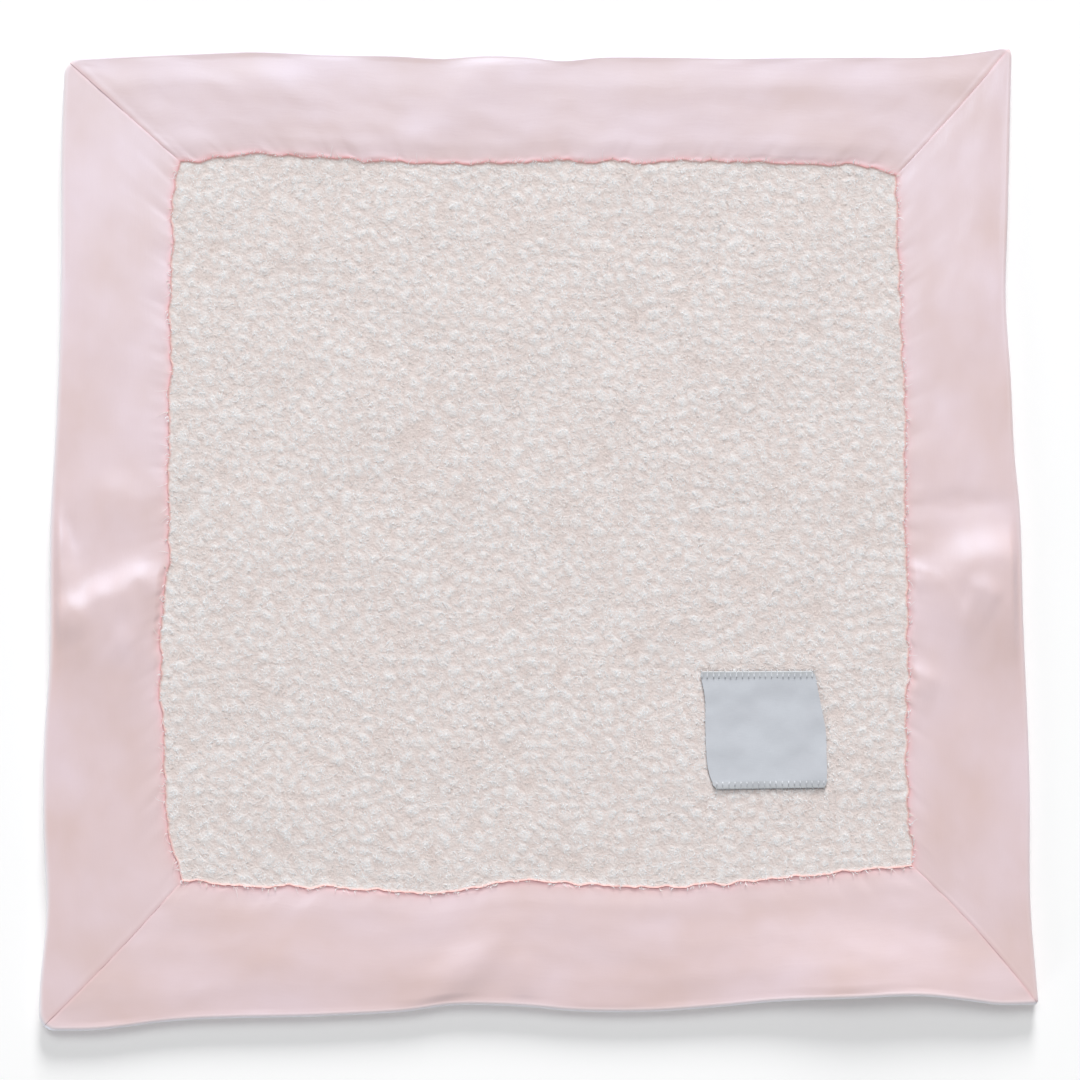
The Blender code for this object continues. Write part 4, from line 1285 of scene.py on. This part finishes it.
def seamStitches(pink, grey):
    growth = stitchGrowth()
    plain = stitchMesh("plainStitch", sewing["stitch"], sewing["stitchRadii"])
    fine = stitchMesh("closingStitch", sewing["stitch"], sewing["closingRadii"])
    whip = stitchMesh("whipStitch", sewing["whip"], sewing["whipRadii"])

    def pinkRow(name, lines, node, stitch=plain, row=sewing["row"]):
        stitchRow(name, lines, stitch, row, pink, "seam_thread", node, growth)

    beside = clothHalf + (satin["gap"] + satin["thread"] / 2) * mm
    inside = seamFold + (satin["thread"] + satin["gap"]) * mm
    for side, name in enumerate(sides):
        place = Rows(side, np.linspace(*sewing["panelEnds"], 240)).at(np.array([[inside]]))[:, 0]
        pinkRow("panel_stitches_" + name, [raised(place, seamUnder + beside)], "panel_seam_" + name)
    upward = sewing["mitreLevel"]
    for number, name in enumerate(corners):
        low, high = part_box("mitre_seam_" + name)
        line = Rows(number, [(clothHalf * 2 + beside) / Rows(number, [0.5]).length])
        place = line.at(np.linspace(*sewing["mitreEnds"], 30)[None] * line.width[0])[0]
        level = low.z * (1 - upward) + high.z * upward
        pinkRow("mitre_stitches_" + name, [raised(place, level)], "mitre_seam_" + name)

    def besideEdge(side, start, end, count, node):
        # a line just inside the outer edge, at the level of this thread
        low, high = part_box(node)
        rows = Rows(side, np.linspace(start, end, count))
        place = rows.at(rows.width[:, None] - sewing["edgeInset"] * mm)[:, 0]
        return raised(place, (low.z + high.z) / 2)

    # the border is sewn to the back all round but for the gap that it was turned through
    (start, end), (closed, opened) = sewing["ends"], sewing["closing"]
    runs = ((0, start, end), (1, start, end), (2, start, closed), (2, opened, end), (3, start, end))
    lines = [besideEdge(*run, 160, "edge_seam_thread") for run in runs]
    pinkRow("edge_stitches", lines, "edge_seam_thread")
    line = besideEdge(2, closed, opened, 60, "closing_thread")
    pinkRow("closing_stitches", [line], "closing_thread", fine, sewing["closingRow"])

    # whip stitches over the label's folded ends
    for name, start, end in (("top", 0, 1), ("bottom", 2, 3)):
        first, last = labelCorners[start], labelCorners[end]
        edge = first + np.linspace(*sewing["labelEnds"], 40)[:, None] * (last - first)
        stitchRow("label_whipping_" + name, [raised(edge, labelFace)], whip, sewing["whippingRow"], grey,
                  "label_thread", "label_stitches_" + name, growth)
    for used in (plain, fine, whip):
        bpy.data.objects.remove(used)


threadLook = {
    "seam": (214, 140, 136),
    "label": (202, 205, 210),
    "pale": 7,  # how far its tone strays
    "deep": -12,
    "twists": (900, 900, 900),  # in a metre
    "slubs": ((350, 350, 350), 2),
    "depth": 0.05,  # mm
}


def threadFinish(name, tint):
    # spun thread: fine twisted shading and a slight change of tone along it
    look = threadLook
    finish = Finish(name, Roughness=0.55, Sheen_Weight=0.2, Specular_IOR_Level=0.4)
    place = finish.place()
    twist = finish.node("ShaderNodeTexWave", {"bands_direction": "DIAGONAL"}, {
        "Vector": finish.stretched(place, look["twists"]), "Scale": 1.0, "Distortion": 1.5})
    tone = finish.clamped(finish.noise(place, *look["slubs"]) + twist * 0.25, 0.4, 0.8)
    finish.drive("Base Color", finish.mixed(tone, paint(tint, look["deep"]), paint(tint, look["pale"])))
    finish.drive("Normal", finish.bump(twist, look["depth"], 0.6))
    return finish


# Hem

hem = {  # one stretch of it lies up off the ground
    "middle": (142, -201),  # mm
    "along": 46,  # how far the lift reaches each way along the edge
    "inward": 31,  # and in from it
    "rise": 4.6,
    "bend": 0.12,  # how gently it starts, as a share of the way in
}


def liftHem():
    # every piece rises by the same amount at a place, so that they keep clear of one another
    bend = hem["bend"]
    for piece in pieces:
        points = np.zeros(len(piece.data.vertices) * 3)
        piece.data.vertices.foreach_get("co", points)
        points = points.reshape(-1, 3)
        x, y = (points[:, :2] / mm - hem["middle"]).T
        climb = bend * np.log1p(np.exp((1 - y / hem["inward"]) / bend))
        points[:, 2] += hem["rise"] * mm * climb * bell(x, hem["along"])
        piece.data.vertices.foreach_set("co", points.ravel())
        piece.data.update()


# Stage

view = {
    "distance": 0.95,  # m
    "tilt": 6,  # degrees from straight down
    "lens": 75.16,
    "target": (0.9, -5.2, 0),  # mm
}
lights = {
    "sky": 0.3,
    "skyColour": (0.97, 0.985, 1.0),
    "key": (35, (-0.15, 0.99), 8, 4.4, 202),  # degrees from overhead, towards, m away, m wide, W
    "low": (71, (0.08, 0.99), 9, 2.6, 880),
    "rim": (80, (-0.6, -0.8), 9, 3, 170),
}
backdrop = {
    "reach": 3,  # m each way
    "level": -0.05,  # mm
    "tone": 0.97,
    "glow": 0.1,  # what it adds by itself where it is seen
}


def camera():
    data = bpy.data.cameras.new("camera")
    data.lens = view["lens"]
    made = link(bpy.data.objects.new("camera", data))
    tilt = math.radians(view["tilt"])
    target = Vector(view["target"]) * mm
    made.location = target + Vector((0, -math.sin(tilt), math.cos(tilt))) * view["distance"]
    made.rotation_euler = (tilt, 0, 0)
    bpy.context.scene.camera = made


def softbox(name, lean, towards, away, wide, power):
    data = bpy.data.lights.new(name, "AREA")
    data.shape = "DISK"
    data.size = wide
    data.energy = power
    made = link(bpy.data.objects.new(name, data))
    flat = Vector((*towards, 0)).normalized() * math.sin(math.radians(lean))
    made.location = (flat + Vector((0, 0, math.cos(math.radians(lean))))) * away
    made.rotation_euler = (-made.location).to_track_quat("-Z", "Y").to_euler()


def floor():
    tone, reach, level = backdrop["tone"], backdrop["reach"], backdrop["level"] * mm
    finish = Finish("floor", Roughness=0.9, Specular_IOR_Level=0.1, Base_Color=(tone, tone, tone, 1))
    seen = finish.node("ShaderNodeLightPath", output="Is Camera Ray")
    glow = finish.node("ShaderNodeEmission", {}, {"Strength": seen * backdrop["glow"]})
    plain = Wire(finish, finish.shader.outputs[0])
    both = finish.node("ShaderNodeAddShader", {}, {0: plain, 1: glow})
    finish.feed(finish.tree.nodes["Material Output"].inputs[0], both)
    mesh = bpy.data.meshes.new("floor")
    spots = [(x * reach, y * reach, level) for x, y in ((-1, -1), (1, -1), (1, 1), (-1, 1))]
    mesh.from_pydata(spots, [], [(0, 1, 2, 3)])
    mesh.materials.append(finish.material)
    link(bpy.data.objects.new("floor", mesh))


def studio():
    # a pale sky lights the cloth, and a white one is seen in and behind it
    world = bpy.data.worlds.new("studio")
    bpy.context.scene.world = world
    world.use_nodes = True
    sky = Graph(world.node_tree)
    tint = (*lights["skyColour"], 1)
    lit = sky.node("ShaderNodeBackground", {}, {"Color": tint, "Strength": lights["sky"]})
    white = sky.node("ShaderNodeBackground", {}, {"Color": (1, 1, 1, 1), "Strength": 1.0})
    seen = sky.node("ShaderNodeLightPath", output="Is Camera Ray")
    for kind in ("Glossy", "Transmission"):
        seen = sky.maths("MAXIMUM", seen, sky.node("ShaderNodeLightPath", output=f"Is {kind} Ray"))
    mixed = sky.node("ShaderNodeMixShader", {}, {0: seen, 1: lit, 2: white})
    sky.feed(world.node_tree.nodes["World Output"].inputs[0], mixed)
    for kind in ("key", "low", "rim"):
        softbox(kind + "Light", *lights[kind])
    bpy.context.scene.view_settings.view_transform = "Standard"


camera()
floor()
studio()
print("stage set")

borderSatin = satinFinish("borderSatin", satinLook["borderTint"], satinLook["borderRough"])
for number in range(4):
    satinStrip(number, borderSatin)
print("border made")

satinBack(satinFinish("backSatin", satinLook["backTint"], satinLook["backRough"]))
print("back made")

bed, bedTop = fleeceBed(beddingFinish())
pile = fleecePile(bedTop, fleeceFinish())
bpy.data.objects.remove(bedTop)
print("fleece made:", sum(len(p.data.polygons) for p in pile), "faces of pile")

wovenLabel(labelFinish())
print("label made")

seamStitches(threadFinish("seamThread", threadLook["seam"]), threadFinish("labelThread", threadLook["label"]))
print("seams sewn")
liftHem()
print("hem lifted")
